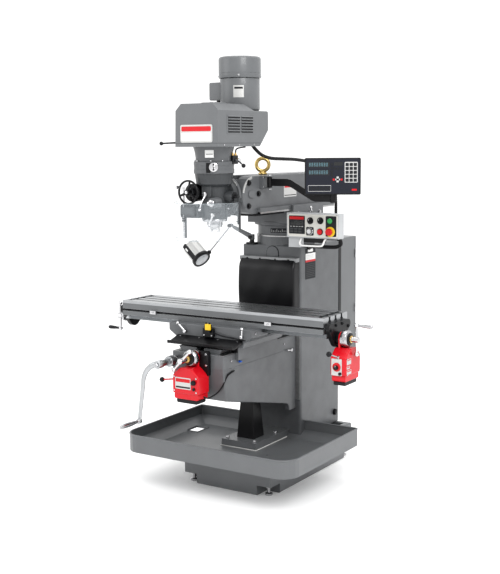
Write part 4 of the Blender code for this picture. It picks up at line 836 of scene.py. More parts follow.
# ---------------------------------------------------------------- saddle and table
def saddle_looks():
    dress("saddle", CAST, 0.002)
    dress("limit_switch", BLACK, 0.001)
    front = -0.6203
    side = [(front, 0.8615), (front, 0.8415), (-0.7, 0.8262), (-0.715, 0.828), (-0.7158, 0.831), (-0.7158, 0.844),
        (-0.713, 0.8455), (-0.71, 0.84), (-0.7, 0.835), (front - 0.01, 0.856)]
    piece("apron_sheet", "saddle_body", BLACK, prism(side, "x", -0.205, 0.205), replaces=("apron",), bevel=0.0012)
    piece("apron_screws", "saddle_body", CHROME, *cap_screws((0, -0.35, 0.94), 0.0045, 0.003,
        ((x, -0.63, 0.8545) for x in (-0.18, -0.06, 0.06, 0.18))))
    # way wipers on the front and back of the saddle
    for name, y in (("front", -0.6202), ("rear", -0.2298)):
        out = -0.006 if name == "front" else 0.006
        piece(f"saddle_wiper_{name}_left", "saddle_body", RUBBER, prism([(-0.176, 0.7975), (-0.176, 0.819),
            (-0.141, 0.819), (-0.141, 0.7975)], "y", y, y + out))
        piece(f"saddle_wiper_{name}_right", "saddle_body", RUBBER, prism([(0.176, 0.7975), (0.176, 0.819),
            (0.141, 0.819), (0.141, 0.7975)], "y", y, y + out))
    for name, body, pivot, tip in (("saddle_lock", "saddle_clamp", (-0.15, -0.6305, 0.882), (-0.186, -0.644, 0.926)),
            ("table_lock", "table_clamp", (0.205, -0.6305, 0.882), (0.214, -0.64, 0.926))):
        pivot, tip = Vector(pivot), Vector(tip)
        piece(name + "_lever", body, CHROME, turned("y", pivot.x, pivot.z, ((-0.6207, 0.008), (-0.6225, 0.0092),
            (-0.6385, 0.0092), (-0.6405, 0.0075)), 28), sweep([pivot, pivot.lerp(tip, 0.5), tip],
            (0.0055, 0.0045, 0.0042), 16), ball(tip, 0.0085), replaces=(name,))
    # limit switch: yellow roller block, its cable and screws
    piece("limit_roller_block", "saddle_body", YELLOW, prism(rounded(-0.004, 0.905, 0.03, 0.938, 0.004), "y", -0.657,
        -0.649), bevel=0.001)
    piece("limit_rollers", "saddle_body", BLACK, *(turned("z", x, -0.6535, ((0.9382, 0.0055), (0.9455, 0.0055)), 20)
        for x in (0.003, 0.023)), slot="black_plastic")
    piece("limit_screws", "saddle_body", CHROME, *cap_screws((0, -1, 0), 0.004, 0.003,
        ((x, -0.638, 0.875) for x in (-0.022, 0.026))))
    route = smooth_route(((0.034, -0.631, 0.888), (0.06, -0.636, 0.884), (0.1, -0.634, 0.876), (0.15, -0.631, 0.872),
        (0.19, -0.626, 0.866), (0.23, -0.615, 0.862)), 24)
    piece("limit_cable", "saddle_body", HOSE, sweep(route, 0.0035, 10))
    # gib screws on the saddle's ends
    piece("saddle_gib_screws", "saddle_body", TURNED, *(socket_screw((s * 0.262, y, 0.9), (s, 0, 0), 0.0065, 0.004)
        for s in (-1, 1) for y in (-0.59, -0.26)))


def table_looks():
    dress("table", STEEL, 0.001)
    (x0, y0, _), (x1, y1, _) = (tuple(c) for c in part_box("table"))
    # a thin painted skin under the ground lip
    skins = [box((x0 + 0.0004, y0 - 0.0006, 0.9208), (x1 - 0.0004, y0 + 0.0006, 0.9432)),
        box((x0 + 0.0004, y0 - 0.0006, 0.9568), (x1 - 0.0004, y0 + 0.0006, 0.987))]
    piece("table_front_paint", "table_body", PAINT, *skins, slot="cast_iron")
    piece("table_rear_paint", "table_body", PAINT, box((x0 + 0.0004, y1 - 0.0006, 0.9208),
        (x1 - 0.0004, y1 + 0.0006, 0.987)), slot="cast_iron")
    # stop dogs in the front groove
    for name, x in (("left", -0.415), ("right", 0.32)):
        body = prism(rounded(x - 0.02, 0.9405, x + 0.02, 0.9595, 0.003), "y", y0 - 0.014, y0 + 0.008)
        piece(f"stop_dog_{name}", "table_body", CHROME, body, socket_screw((x, y0 - 0.0138, 0.95), (0, -1, 0), 0.006,
            0.005), bevel=0.001)
    # a dark strip at the back of the front groove: painted shade inside the groove
    groove = [box((x0 + 0.001, y0 + 0.0112, 0.9445), (x1 - 0.001, y0 + 0.0122, 0.9555))]
    piece("table_groove_shade", "table_body", PAINTED_SHADE, *groove)
    # black bearing brackets at the table's ends; their upper lobes reach over the ends of the trough and gutters, and
    # their black there is painted shade of those shaded slot ends
    for side in (-1, 1):
        bolts = [(side * 0.6603, y, z) for y, z in ((-0.465, 0.958), (-0.398, 0.958), (-0.332, 0.936),
            (-0.518, 0.936))]
        label = "left" if side < 0 else "right"
        outline = hull(((*TABLE_SCREW, 0.046), (-0.518, 0.949, 0.022), (-0.328, 0.949, 0.022)), 48)
        spans = sorted((side * 0.6354, side * 0.66))
        necks = sorted((side * 0.655, side * 0.6748))
        piece(f"bearing_bracket_{label}", "table_body", BLACK, prism(outline, "x", *spans),
            turned("x", *TABLE_SCREW, ((necks[0], 0.0318), (necks[0] + 0.002, 0.033), (necks[1] - 0.002, 0.033),
            (necks[1], 0.031)), 48), replaces=(f"bearing_{label}",), bevel=0.0035, segments=3)
        piece(f"bracket_bolts_{label}", "table_body", SATIN, *cap_screws((side, 0, 0), 0.008, 0.005, (p for p in bolts)),
            slot="black_metal")
    x_drive()


def x_drive():
    u, v = TABLE_SCREW
    screw = ((-0.7005, 0.0109), (0.7085, 0.0109))
    piece("long_screw", "x_handles", TURNED, turned("x", u, v, screw, 28), replaces=("table_screw",))
    left, grip = ball_crank("x", u, v, -0.743, 0.014, 90.0, -0.087, handle_at=-1)
    collar = turned("x", u, v, ((-0.729, 0.012), (-0.715, 0.012), (-0.7145, 0.0255), (-0.713, 0.0262),
        (-0.7025, 0.0262), (-0.701, 0.025)), 40)
    piece("left_crank", "x_handles", CHROME, *left, replaces=("crank_left",))
    piece("left_collar", "x_handles", TURNED, collar, slot="chrome")
    piece("left_grip", "x_handles", SATIN, grip)
    right, grip = ball_crank("x", u, v, 0.762, 0.014, 90.0, 0.088)
    piece("right_crank", "x_handles", CHROME, *right, turned("x", u, v, ((0.735, 0.0125), (0.7485, 0.0125)), 28),
        replaces=("crank_right",))
    piece("right_grip", "x_handles", TURNED, grip, slot="chrome")
    dial = ((0.6885, 0.034), (0.689, 0.0418), (0.6905, DIAL_R), (0.717, DIAL_R), (0.719, 0.041), (0.724, 0.035),
        (0.724, 0.015))
    piece("right_dial", "x_handles", TURNED, turned("x", u, v, dial, 64), slot="chrome")
    piece("right_dial_marks", "x_handles", KEYS, ticks("x", 0.696, 0.715, u, v, DIAL_R, 50))
    piece("right_dial_lock", "x_handles", BLACK, turned("x", u, v, ((0.7238, 0.03), (0.7245, 0.0315), (0.729, 0.0315),
        (0.73, 0.03), (0.73, 0.015)), 48))
    piece("right_bush", "x_handles", BRASS, turned("x", u, v, ((0.7298, 0.0175), (0.7305, 0.0185), (0.7345, 0.0185),
        (0.7352, 0.017), (0.7352, 0.012)), 40))
    feed_looks("x", "table_body", "x", 0.676, 1, u, v, 0.068)
    lever_looks("x_feed_lever", "x_feed_handle", (0.7, -0.529, 0.812), (0.695, -0.602, 0.838))
    face = u - 0.0803
    dress("x_feed_knob", SATIN, 0.001)
    piece("x_feed_knob_pointer", "x_feed_dial", WHITE, box((0.6913, face - 0.0145, 0.76),
        (0.6927, face - 0.0139, 0.769)), slot="black_plastic")


def feed_panels():
    """Labels, small knobs and screws on the two power feeds."""
    # cross feed: its face looks at the operator
    y = -0.8416
    plate("cross_feed_plate", "knee_body", SILVER, "y", y + 0.0006, -0.062, 0.628, 0.034, 0.688, -0.0016, 0.004,
        bevel=0.0003)
    plate("cross_feed_stripe", "knee_body", REDKEY, "y", y - 0.0008, -0.058, 0.664, 0.03, 0.682, -0.0006, 0.002)
    plate("cross_feed_band", "knee_body", KEYS, "y", y - 0.0008, -0.058, 0.634, 0.03, 0.642, -0.0006, 0.001,
        slot="black_plastic")
    piece("cross_feed_screws", "knee_body", CHROME, *cap_screws((0, -1, 0), 0.0045, 0.003,
        ((x, y, z) for x in (-0.068, 0.068) for z in (0.618, 0.69))))
    piece("cross_feed_speed", "knee_body", SATIN, turned("y", 0.054, 0.668, ((y, 0.0125), (y - 0.004, 0.0135),
        (y - 0.014, 0.0115), (y - 0.0155, 0.009)), 32))
    piece("cross_feed_rapid", "knee_body", BLACK, turned("y", 0.054, 0.634, ((y, 0.008), (y - 0.006, 0.0078),
        (y - 0.007, 0.006)), 24), slot="black_plastic")
    # mounting plate and its bolts
    piece("cross_mount", "knee_body", BLACK, prism(rounded(0.026, 0.69, 0.085, 0.815, 0.006), "y", -0.76, -0.7352),
        bevel=0.0015)
    piece("cross_mount_bolts", "knee_body", CHROME, *cap_screws((0, -1, 0), 0.006, 0.005,
        ((0.074, -0.76, z) for z in (0.745, 0.803))))
    piece("cross_flange", "knee_body", TURNED, turned("y", 0.0, 0.78, ((-0.7352, 0.036), (-0.737, 0.0385),
        (-0.7585, 0.0385), (-0.76, 0.037), (-0.76, 0.0125), (-0.7352, 0.0125)), 48))
    # table feed
    x = 0.7442
    y = -0.5203
    plate("table_feed_plate", "table_body", SILVER, "y", y + 0.0006, 0.664, 0.716, 0.722, 0.801, -0.0016, 0.004,
        bevel=0.0003)
    piece("table_feed_speed_ring", "table_body", REDKEY, turned("y", 0.6935, 0.7595,
        ((y, 0.022), (y - 0.003, 0.0225), (y - 0.004, 0.021), (y - 0.004, 0.01)), 40))
    for k, (y0, z0, y1, z1) in enumerate(((-0.51, 0.772, -0.464, 0.8), (-0.51, 0.75, -0.478, 0.765),
            (-0.51, 0.722, -0.462, 0.744))):
        plate(f"table_feed_label_{k}", "table_body", SILVER, "x", x - 0.0006, y0, z0, y1, z1, 0.0014, 0.003,
            bevel=0.0003)
        plate(f"table_feed_label_line_{k}", "table_body", REDKEY, "x", x + 0.0006, y0 + 0.004, z1 - 0.008, y1 - 0.004,
            z1 - 0.003, 0.0005, 0.001)
    piece("table_feed_screws", "table_body", CHROME, *cap_screws((1, 0, 0), 0.0045, 0.003,
        ((x, yy, zz) for yy in (-0.506, -0.374) for zz in (0.722, 0.8))))
    piece("table_feed_rapid", "table_body", BLACK, turned("y", 0.7125, 0.727, ((y, 0.008), (y - 0.007, 0.0078),
        (y - 0.008, 0.006)), 24), slot="black_plastic")
    # supply leads of both feeds, held on their own bodies
    route = smooth_route(((0.702, -0.375, 0.668), (0.69, -0.33, 0.655), (0.64, -0.3, 0.7), (0.62, -0.29, 0.8),
        (0.6, -0.2905, 0.9), (0.56, -0.2915, 0.93)), 36)
    piece("table_feed_lead", "table_body", HOSE, sweep(route, 0.004, 12))
    route = smooth_route(((0.066, -0.79, 0.59), (0.09, -0.77, 0.58), (0.12, -0.738, 0.6), (0.15, -0.726, 0.64),
        (0.164, -0.7, 0.69), (0.1645, -0.64, 0.705)), 30)
    piece("cross_feed_lead", "knee_body", HOSE, sweep(route, 0.004, 12))


# ---------------------------------------------------------------- turret, ram, readout
def ram_looks():
    dress("turret", CAST, 0.003, 3)
    dress("ram", CAST, 0.002)
    dress("knuckle", CAST, 0.0015)
    # turret scale ring and its marks
    piece("turret_scale", "stand", WAYS, turned("z", 0.0, TURRET_Y, ((1.338, 0.1655), (1.3385, 0.1685),
        (1.345, 0.1685), (1.3452, 0.1655)), 96))
    marks = []
    for k in range(-18, 19):
        a = math.radians(-90 + 5 * k)
        marks.append(spun(box((-0.0005, -0.1689, 1.3392), (0.0005, -0.1682, 1.344 if k % 2 == 0 else 1.342)), 5 * k,
            (0, 0, 0), "Z"))
    piece("turret_scale_marks", "stand", KEYS, *(moved(m, 0.0, TURRET_Y, 0.0) for m in marks))
    curved_plate("turret_index", "turret_body", KEYS, (0.0, TURRET_Y), 0.1606, 1.361, 1.386, -2, 44, "black_metal")
    marks = []
    for k in range(12):
        a = math.radians(1 + 3.7 * k)
        out = Vector((math.sin(a), -math.cos(a), 0.0))
        mark = box((-0.0007, -0.0006, 1.366), (0.0007, 0.0006, 1.381 if k % 3 == 0 else 1.374))
        bmesh.ops.rotate(mark, cent=(0, 0, 0), verts=mark.verts, matrix=Matrix.Rotation(a, 3, "Z"))
        marks.append(moved(mark, *(Vector((0.0, TURRET_Y, 0.0)) + out * 0.1614)))
    piece("turret_index_marks", "turret_body", WHITE, *marks)
    bolts = [(s * 0.15, y, 1.468) for s in (-1, 1) for y in (0.045, 0.285)]
    piece("ram_clamp_bolts", "turret_body", TURNED, *(hex_bolt(p, (math.copysign(1, p[0]), 0, 0), 0.011, 0.012)
        for p in bolts))
    piece("ram_clamp_levers", "turret_body", CHROME, sweep([(0.162, 0.165, 1.47), (0.178, 0.15, 1.476),
        (0.19, 0.12, 1.5)], (0.007, 0.0055, 0.0045), 16), ball((0.191, 0.117, 1.5025), 0.008),
        turned("x", 0.165, 1.47, ((0.1498, 0.013), (0.166, 0.013), (0.168, 0.011)), 28))
    # ways under the ram
    ways = [box((min(s * 0.118, s * 0.1355), -0.33, 1.4895), (max(s * 0.118, s * 0.1355), 0.498, 1.4985))
        for s in (-1, 1)]
    piece("ram_way_faces", "ram_body", WAYS, *ways)
    piece("ram_dovetail", "ram_body", BLACK, prism([(-0.1, 1.4905), (-0.086, 1.4745), (0.086, 1.4745), (0.1, 1.4905)],
        "y", -0.3, -0.012), bevel=0.001)
    # nod pivot boss, three clamp bolts and the nod scale with its marks
    # the bolt heads are black, partly real and partly painted shade standing for the dark holes round them
    piece("nod_bolts", "ram_body", BLACK, *(hex_bolt((s * 0.1148, y, z), (s, 0, 0), 0.0115, 0.013) for s in (-1, 1)
        for y, z in ((-0.412, 1.656), (-0.414, 1.535), (-0.316, 1.596))), slot="steel")
    oval = hull(((-0.395, 1.596, 0.02), (-0.378, 1.594, 0.02)), 40)
    piece("nod_boss", "ram_body", CAST, prism(oval, "x", 0.114, 0.1205), prism(oval, "x", -0.1205, -0.114),
        bevel=0.003, segments=3)
    scale = circle(NOD_Y, NOD_Z, 0.0985, 40, 95, 170)
    inner = list(reversed(circle(NOD_Y, NOD_Z, 0.085, 40, 95, 170)))
    piece("nod_scale", "ram_body", SILVER, prism(scale + inner, "x", 0.1142, 0.1158))
    marks = [spun(box((0.1156, -0.3703, 1.59 + 0.086), (0.1162, -0.3697, 1.59 + (0.096 if k % 2 == 0 else 0.092))), 8
        + 5.6 * k, (0, NOD_Y, NOD_Z), "X") for k in range(13)]
    piece("nod_scale_marks", "ram_body", KEYS, *marks)
    # plates on the ram's sides
    for side, label in ((1, "right"), (-1, "left")):
        spans = sorted((side * 0.1146, side * 0.1162))
        piece(f"ram_plate_{label}", "ram_body", SILVER, prism(rounded(-0.052, 1.565, 0.085, 1.64, 0.004), "x",
            *spans), bevel=0.0003)
        spans = sorted((side * 0.116, side * 0.1168))
        piece(f"ram_plate_band_{label}", "ram_body", REDKEY, prism(rounded(-0.046, 1.617, 0.079, 1.633, 0.003), "x",
            *spans))
        piece(f"ram_plate_line_{label}", "ram_body", KEYS, prism(rounded(-0.046, 1.573, 0.079, 1.577, 0.001), "x",
            *spans), slot="black_plastic")
    piece("ram_end_cover", "ram_body", PAINT, prism(rounded(-0.095, 1.51, 0.095, 1.672, 0.012), "y", 0.499, 0.5035),
        bevel=0.0015)
    piece("ram_end_screws", "ram_body", TURNED, *cap_screws((0, 1, 0), 0.006, 0.004,
        ((x, 0.5035, z) for x in (-0.08, 0.08) for z in (1.525, 1.657))))
    piece("ram_top_cover", "ram_body", PAINT, prism(rounded(-0.07, -0.02, 0.07, 0.44, 0.015), "z", 1.6892, 1.6925),
        bevel=0.0012)
    eye_looks()


def eye_looks():
    y, foot = -0.086, 1.6903
    ring = bmesh.new()
    mid_r, wire = 0.0345, 0.0098
    rows = [[ring.verts.new(Vector(((mid_r + wire * math.cos(b)) * math.cos(a), wire * math.sin(b),
        (mid_r + wire * math.cos(b)) * math.sin(a)))) for b in (math.tau * j / 18 for j in range(18))]
        for a in (math.tau * i / 48 for i in range(48))]
    for i in range(48):
        for j in range(18):
            ring.faces.new((rows[i][j], rows[(i + 1) % 48][j], rows[(i + 1) % 48][(j + 1) % 18],
                rows[i][(j + 1) % 18]))
    bmesh.ops.recalc_face_normals(ring, faces=ring.faces)
    ring = spun(moved(ring, 0.0, y, 1.744), 28.0, (0.0, y, 0.0), "Z")
    piece("lifting_eye", "ram_body", GOLD, ring, turned("z", 0.0, y, ((foot, 0.0225), (foot + 0.0015, 0.024),
        (foot + 0.008, 0.024), (foot + 0.0105, 0.0205), (foot + 0.013, 0.015), (foot + 0.02, 0.0125)), 40),
        replaces=("eye_bolt",), smooth=60)


DRO_AT = Vector((0.535, -0.27, 0.0))


def readout_shape(u0, v0, u1, v1, near, far, corner=0.002):
    """A plate on the readout, in its own face: u to the right, v up, depth towards the viewer."""
    outline = rounded(u0, v0, u1, v1, corner, 5)
    bm = loft([[Vector((u, -s, v)) for u, v in outline] for s in (near, far)])
    bmesh.ops.translate(bm, vec=DRO_AT, verts=bm.verts)
    return spun(bm, 28.0, DRO_AT, "Z")


def readout_looks():
    y = -0.27
    path = ((0.15, 1.655), (0.27, 1.655), (0.29, 1.65), (0.415, 1.583), (0.432, 1.578), (0.556, 1.578))
    half = 0.019
    outline = [(x, z + half) for x, z in path] + [(x, z - half) for x, z in reversed(path)]
    piece("readout_arm_bar", "readout_arm", BLACK, prism(outline, "y", y - 0.006, y + 0.006),
        turned("z", 0.158, y, ((1.6272, 0.0125), (1.6285, 0.014), (1.6815, 0.014), (1.6828, 0.0125)), 32),
        turned("z", 0.535, y, ((1.555, 0.0105), (1.5565, 0.012), (1.5995, 0.012), (1.601, 0.0105)), 32),
        replaces=("dro_arm",), bevel=0.0015)
    piece("readout_pivot_pin", "ram_body", CHROME, turned("z", 0.158, y, ((1.6884, 0.0085), (1.6925, 0.0085),
        (1.6935, 0.007)), 24), turned("z", 0.158, y, ((1.6216, 0.0085), (1.6165, 0.0085), (1.6155, 0.007)), 24))
    piece("readout_bracket_screws", "ram_body", CHROME, *cap_screws((1, 0, 0), 0.005, 0.004,
        ((0.1338, y + dy, z) for dy in (-0.024, 0.024) for z in (1.63, 1.68))))
    piece("readout_case", "readout", SATIN, readout_shape(-0.1425, 1.597, 0.1425, 1.784, -0.023, 0.0195, 0.007),
        replaces=("dro_display",), bevel=0.003, segments=3)
    w, low, h = 0.285, 1.597, 0.187

    def at(a, b):
        return -w / 2 + w * a, low + h * b

    def face(name, mat, rects, near, far, corner=0.002, slot="black_plastic", bevel=0.0):
        shapes = []
        for a0, b0, a1, b1 in rects:
            (u0, v0), (u1, v1) = at(a0, b0), at(a1, b1)
            shapes.append(readout_shape(u0, v0, u1, v1, near, far, min(corner, (u1 - u0) * 0.45, (v1 - v0) * 0.45)))
        piece(name, "readout", mat, *shapes, slot=slot, bevel=bevel)

    face("readout_face", SLATE, [(0.025, 0.035, 0.975, 0.965)], 0.019, 0.0206, 0.005)
    rows = [(0.06, 0.745, 0.44, 0.885), (0.06, 0.535, 0.44, 0.675)]
    face("readout_windows", WINDOW, rows + [(0.52, 0.79, 0.68, 0.885)], 0.02, 0.0212, 0.0015)
    digits = []
    for a0, b0, a1, b1 in rows:
        for k in range(8):
            left = a0 + 0.02 + 0.0435 * k
            right = left + 0.026
            for f in (0.2, 0.49, 0.78):
                digits.append((left, b0 + (b1 - b0) * f, right, b0 + (b1 - b0) * f + 0.014))
            digits.append((left, b0 + (b1 - b0) * 0.22, left + 0.0055, b0 + (b1 - b0) * 0.86))
            digits.append((right - 0.0055, b0 + (b1 - b0) * 0.22, right, b0 + (b1 - b0) * 0.86))
    face("readout_digits", finish("readout_segments", (0.1, 0.2, 0.24), 0.5, glow=0.15), digits, 0.0208, 0.0214,
        0.0003)
    keys = [(0.465 + 0.0, b, 0.505, b + 0.06) for b in (0.8, 0.7, 0.6, 0.5)]
    keys += [(0.52 + 0.055 * k, 0.68, 0.56 + 0.055 * k, 0.745) for k in range(3)]
    face("readout_axis_keys", KEYS, keys, 0.0202, 0.0222, 0.002, bevel=0.0004)
    face("readout_side_keys", REDKEY, [(0.5, 0.385, 0.535, 0.44), (0.64, 0.385, 0.675, 0.44)], 0.0202, 0.0222, 0.002,
        slot="red_plastic", bevel=0.0004)
    face("readout_arrow_keys", SILVER, [(0.568, 0.44, 0.608, 0.495), (0.568, 0.335, 0.608, 0.39),
        (0.545, 0.39, 0.565, 0.44), (0.611, 0.39, 0.631, 0.44)], 0.0202, 0.0222, 0.002, slot="steel", bevel=0.0004)
    face("readout_keypad_plate", SILVER, [(0.712, 0.33, 0.945, 0.89)], 0.0202, 0.0212, 0.004, slot="steel")
    pad = [(0.728 + 0.072 * i, 0.352 + 0.106 * j, 0.786 + 0.072 * i, 0.436 + 0.106 * j) for i in range(3)
        for j in range(5)]
    face("readout_keypad", KEYS, pad, 0.0208, 0.0226, 0.002, bevel=0.0004)
    face("readout_strip_frame", SILVER, [(0.06, 0.09, 0.47, 0.26)], 0.0202, 0.0209, 0.003, slot="steel")
    face("readout_strip", SLATE, [(0.066, 0.102, 0.464, 0.248)], 0.0205, 0.0213, 0.003)
    icons = [(0.08 + 0.048 * k, 0.125, 0.116 + 0.048 * k, 0.225) for k in range(8)]
    face("readout_icons", KEYS, icons, 0.0209, 0.0222, 0.002, bevel=0.0003)
    face("readout_emblem", REDKEY, [(0.84, 0.11, 0.93, 0.16)], 0.0202, 0.0211, 0.001, slot="red_plastic")
    # vent slots on the back as thin dark strips: painted shade in the openings
    face("readout_vent_shade", PAINTED_SHADE, [(0.1 + 0.1 * k, 0.25, 0.16 + 0.1 * k, 0.27) for k in range(8)]
        + [(0.1 + 0.1 * k, 0.7, 0.16 + 0.1 * k, 0.72) for k in range(8)], -0.0224, -0.0236, 0.0008)
    face("readout_rear_sockets", CHROME, [(0.15 + 0.12 * k, 0.42, 0.21 + 0.12 * k, 0.52) for k in range(3)], -0.0224,
        -0.029, 0.006, slot="steel", bevel=0.0006)


# ---------------------------------------------------------------- head
def head_looks():
    y = SPINDLE_Y
    housing_looks()
    motor_looks()
    dress("gear_case", CAST, 0.0015)
    dress("head_casting", DEEP, 0.002, 3)
    dress("quill", TURNED)
    # gear case: lower ring with its band, cap screws and the neck's info plate
    case = turned("z", 0.0, y, ((1.7086, 0.102), (1.71, 0.1045), (1.73, 0.1045), (1.7305, 0.103), (1.75, 0.103),
        (1.7505, 0.1045), (1.768, 0.1045), (1.7705, 0.102), (1.772, 0.095), (1.79, 0.0945), (1.82, 0.099),
        (1.842, 0.1055), (1.8444, 0.106)), 96)
    for vert in case.verts:  # flat at the back, where the ram's nose passes when the head tilts
        vert.co.y = min(vert.co.y, -0.4742)
    piece("gear_case_body", "head", CAST, case, replaces=("gear_case",))
    bolts = [(0.098 * math.cos(math.radians(a)), y + 0.098 * math.sin(math.radians(a)), 1.7712)
        for a in (-150, -115, -65, -30, 30, 150)]
    piece("gear_case_screws", "head", TURNED, *cap_screws((0, 0, 1), 0.0052, 0.005, (p for p in bolts)))
    curved_plate("neck_plate", "head", WHITE, (0.0, y), 0.1012, 1.79, 1.828, 8, 34, "machine_paint")
    curved_plate("neck_plate_line", "head", KEYS, (0.0, y), 0.1018, 1.806, 1.809, 11, 31, "black_plastic")
    turn = math.radians(33.0)
    way = Vector((math.sin(turn), -math.cos(turn), 0.0))
    root = Vector((0.0, y, 1.742)) + way * 0.1046
    piece("range_knob_body", "range_knob", CHROME, along(root, way, ((0.0, 0.0215), (0.001, 0.0225), (0.006, 0.0225),
        (0.007, 0.0205), (0.0075, 0.011), (0.019, 0.01), (0.02, 0.0085)), 40), replaces=("range_dial",))
    piece("range_knob_bar", "range_knob", BLACK, sweep([root + way * 0.0165 + Vector((0, 0, -0.017)), root
        + way * 0.0165, root + way * 0.0165 + Vector((0, 0, 0.017))], 0.0042, 14))
    curved_plate("range_plate", "head", BLACK, (0.0, y), 0.1052, 1.714, 1.764, 12, 24, "black_metal")
    # quill barrel collar, bright spindle nose and its drive keys
    piece("quill_collar", "head", TURNED, turned("z", 0.0, y, ((1.4622, 0.0455), (1.4624, 0.064), (1.466, 0.0655),
        (1.474, 0.0655), (1.476, 0.064), (1.4765, 0.0455)), 64))
    piece("spindle_nose", "spindle_body", CHROME, turned("z", 0.0, y, ((1.432, 0.0262), (1.43, 0.0262),
        (1.429, 0.025), (1.4085, 0.025), (1.4055, 0.0228), (1.4052, 0.016), (1.44, 0.0145)), 48),
        replaces=("spindle",))
    piece("spindle_keys", "spindle_body", TURNED, box((-0.0045, y - 0.0262, 1.412), (0.0045, y - 0.0235, 1.424)),
        box((-0.0045, y + 0.0235, 1.412), (0.0045, y + 0.0262, 1.424)))
    # feed reverse knob, depth stop and dark bracket on the left front
    x = -0.126
    piece("depth_rod", "head", TURNED, rod("z", 1.3765, 1.64, x, -0.656, 0.0046, 20, 0.001), slot="chrome")
    threads = [turned("z", x, -0.656, ((1.384 + 0.005 * k, 0.0044), (1.3852 + 0.005 * k, 0.0054),
        (1.3862 + 0.005 * k, 0.0054), (1.3874 + 0.005 * k, 0.0044)), 20) for k in range(18)]
    piece("depth_rod_threads", "head", TURNED, *threads)
    piece("depth_nuts", "head", BLACK, turned("z", x, -0.656, ((1.462, 0.01), (1.463, 0.0115), (1.47, 0.0115),
        (1.471, 0.01)), 28), turned("z", x, -0.656, ((1.4735, 0.01), (1.4745, 0.0115), (1.48, 0.0115), (1.481, 0.01)),
        28))
    piece("feed_bracket", "head", BLACK, prism(rounded(-0.146, 1.4835, -0.052, 1.549, 0.01), "y", -0.6495, -0.66),
        bevel=0.002)
    plate("feed_bracket_plate", "head", DEEP, "y", -0.6598, -0.138, 1.5, -0.062, 1.535, -0.0012, 0.003)
    handwheel_looks()
    # quill lock, worm knob, power feed crank and selector
    pivot, tip = Vector((0.05, -0.6505, 1.5)), Vector((0.03, -0.656, 1.448))
    piece("quill_lock_lever", "quill_clamp", CHROME, turned("y", pivot.x, pivot.z,
        ((-0.6457, 0.009), (-0.647, 0.0102), (-0.655, 0.0102), (-0.656, 0.0088)), 28),
        sweep([pivot, pivot.lerp(tip, 0.5), tip], (0.0055, 0.0045, 0.0042), 16), ball(tip, 0.0085),
        replaces=("quill_lock",))
    piece("worm_boss", "head", DEEP, turned("x", -0.54, 1.59, ((0.06, 0.032), (0.1, 0.031), (0.106, 0.029)), 40),
        slot="cast_iron")
    piece("worm_knob", "head", SATIN, turned("x", -0.54, 1.59, ((0.1055, 0.023), (0.107, 0.0245), (0.115, 0.0245),
        (0.1165, 0.023), (0.117, 0.012), (0.128, 0.011), (0.1295, 0.009)), 48), slot="chrome")
    piece("worm_knob_pin", "head", BLACK, sweep([(0.1235, -0.562, 1.59), (0.1235, -0.54, 1.59),
        (0.1235, -0.518, 1.59)], 0.0042, 14))
    piece("front_boss", "head", CAST, turned("y", 0.046, 1.56, ((-0.6, 0.03), (-0.646, 0.0275), (-0.65, 0.025)), 40))
    piece("feed_trip_knob", "head", CHROME, turned("y", 0.046, 1.56, ((-0.6495, 0.0165), (-0.651, 0.018),
        (-0.658, 0.018), (-0.6595, 0.0165), (-0.66, 0.008), (-0.674, 0.008), (-0.6755, 0.0095), (-0.682, 0.0095),
        (-0.6832, 0.008)), 40))
    piece("front_plate", "head", DEEP, prism(rounded(-0.03, 1.59, 0.03, 1.65, 0.006), "y", -0.62, -0.631),
        bevel=0.001)
    piece("front_lever", "head", CHROME, sweep([(-0.005, -0.631, 1.6), (-0.012, -0.655, 1.57),
        (-0.016, -0.668, 1.53)], (0.006, 0.0048, 0.0042), 16), ball((-0.0165, -0.669, 1.5265), 0.009),
        turned("y", -0.005, 1.604, ((-0.63, 0.012), (-0.642, 0.012), (-0.643, 0.0105)), 28))
    bolts = [(0.088 * math.cos(math.radians(a)), NOD_Z + 0.088 * math.sin(math.radians(a)))
        for a in (45, 135, 225, 315)]
    piece("tilt_bolts", "head", TURNED, *(hex_bolt((bx, -0.5298, bz), (0, -1, 0), 0.01, 0.011) for bx, bz in bolts))
    scale = circle(0.0, NOD_Z, 0.1098, 60, 30, 150) + list(reversed(circle(0.0, NOD_Z, 0.103, 60, 30, 150)))
    piece("tilt_scale", "knuckle_body", SILVER, prism(scale, "y", -0.4912, -0.4896))
    marks = [spun(box((-0.0004, -0.4917, 1.6935), (0.0004, -0.4909, 1.6995 if k % 5 == 0 else 1.697)), 2.4 * k - 57.6,
        (0.0, 0.0, NOD_Z), "Y") for k in range(49)]
    piece("tilt_scale_marks", "knuckle_body", KEYS, *marks)
    guard_looks()
    switch_looks()


def curved_plate(name, body, mat, centre, radius, low, high, a0, a1, slot):
    """A thin plate wrapped on a round neck, between two bearings from the front, in degrees to the right."""
    count = 14
    rings = []
    for k in range(count + 1):
        a = math.radians(a0 + (a1 - a0) * k / count)
        out = Vector((math.sin(a), -math.cos(a), 0.0))
        near, far = (Vector((*centre, 0.0)) + out * r for r in (radius - 0.0012, radius + 0.0008))
        rings.append([near + Vector((0, 0, low)), far + Vector((0, 0, low)), far + Vector((0, 0, high)), near
            + Vector((0, 0, high))])
    piece(name, body, mat, loft(rings), slot=slot)


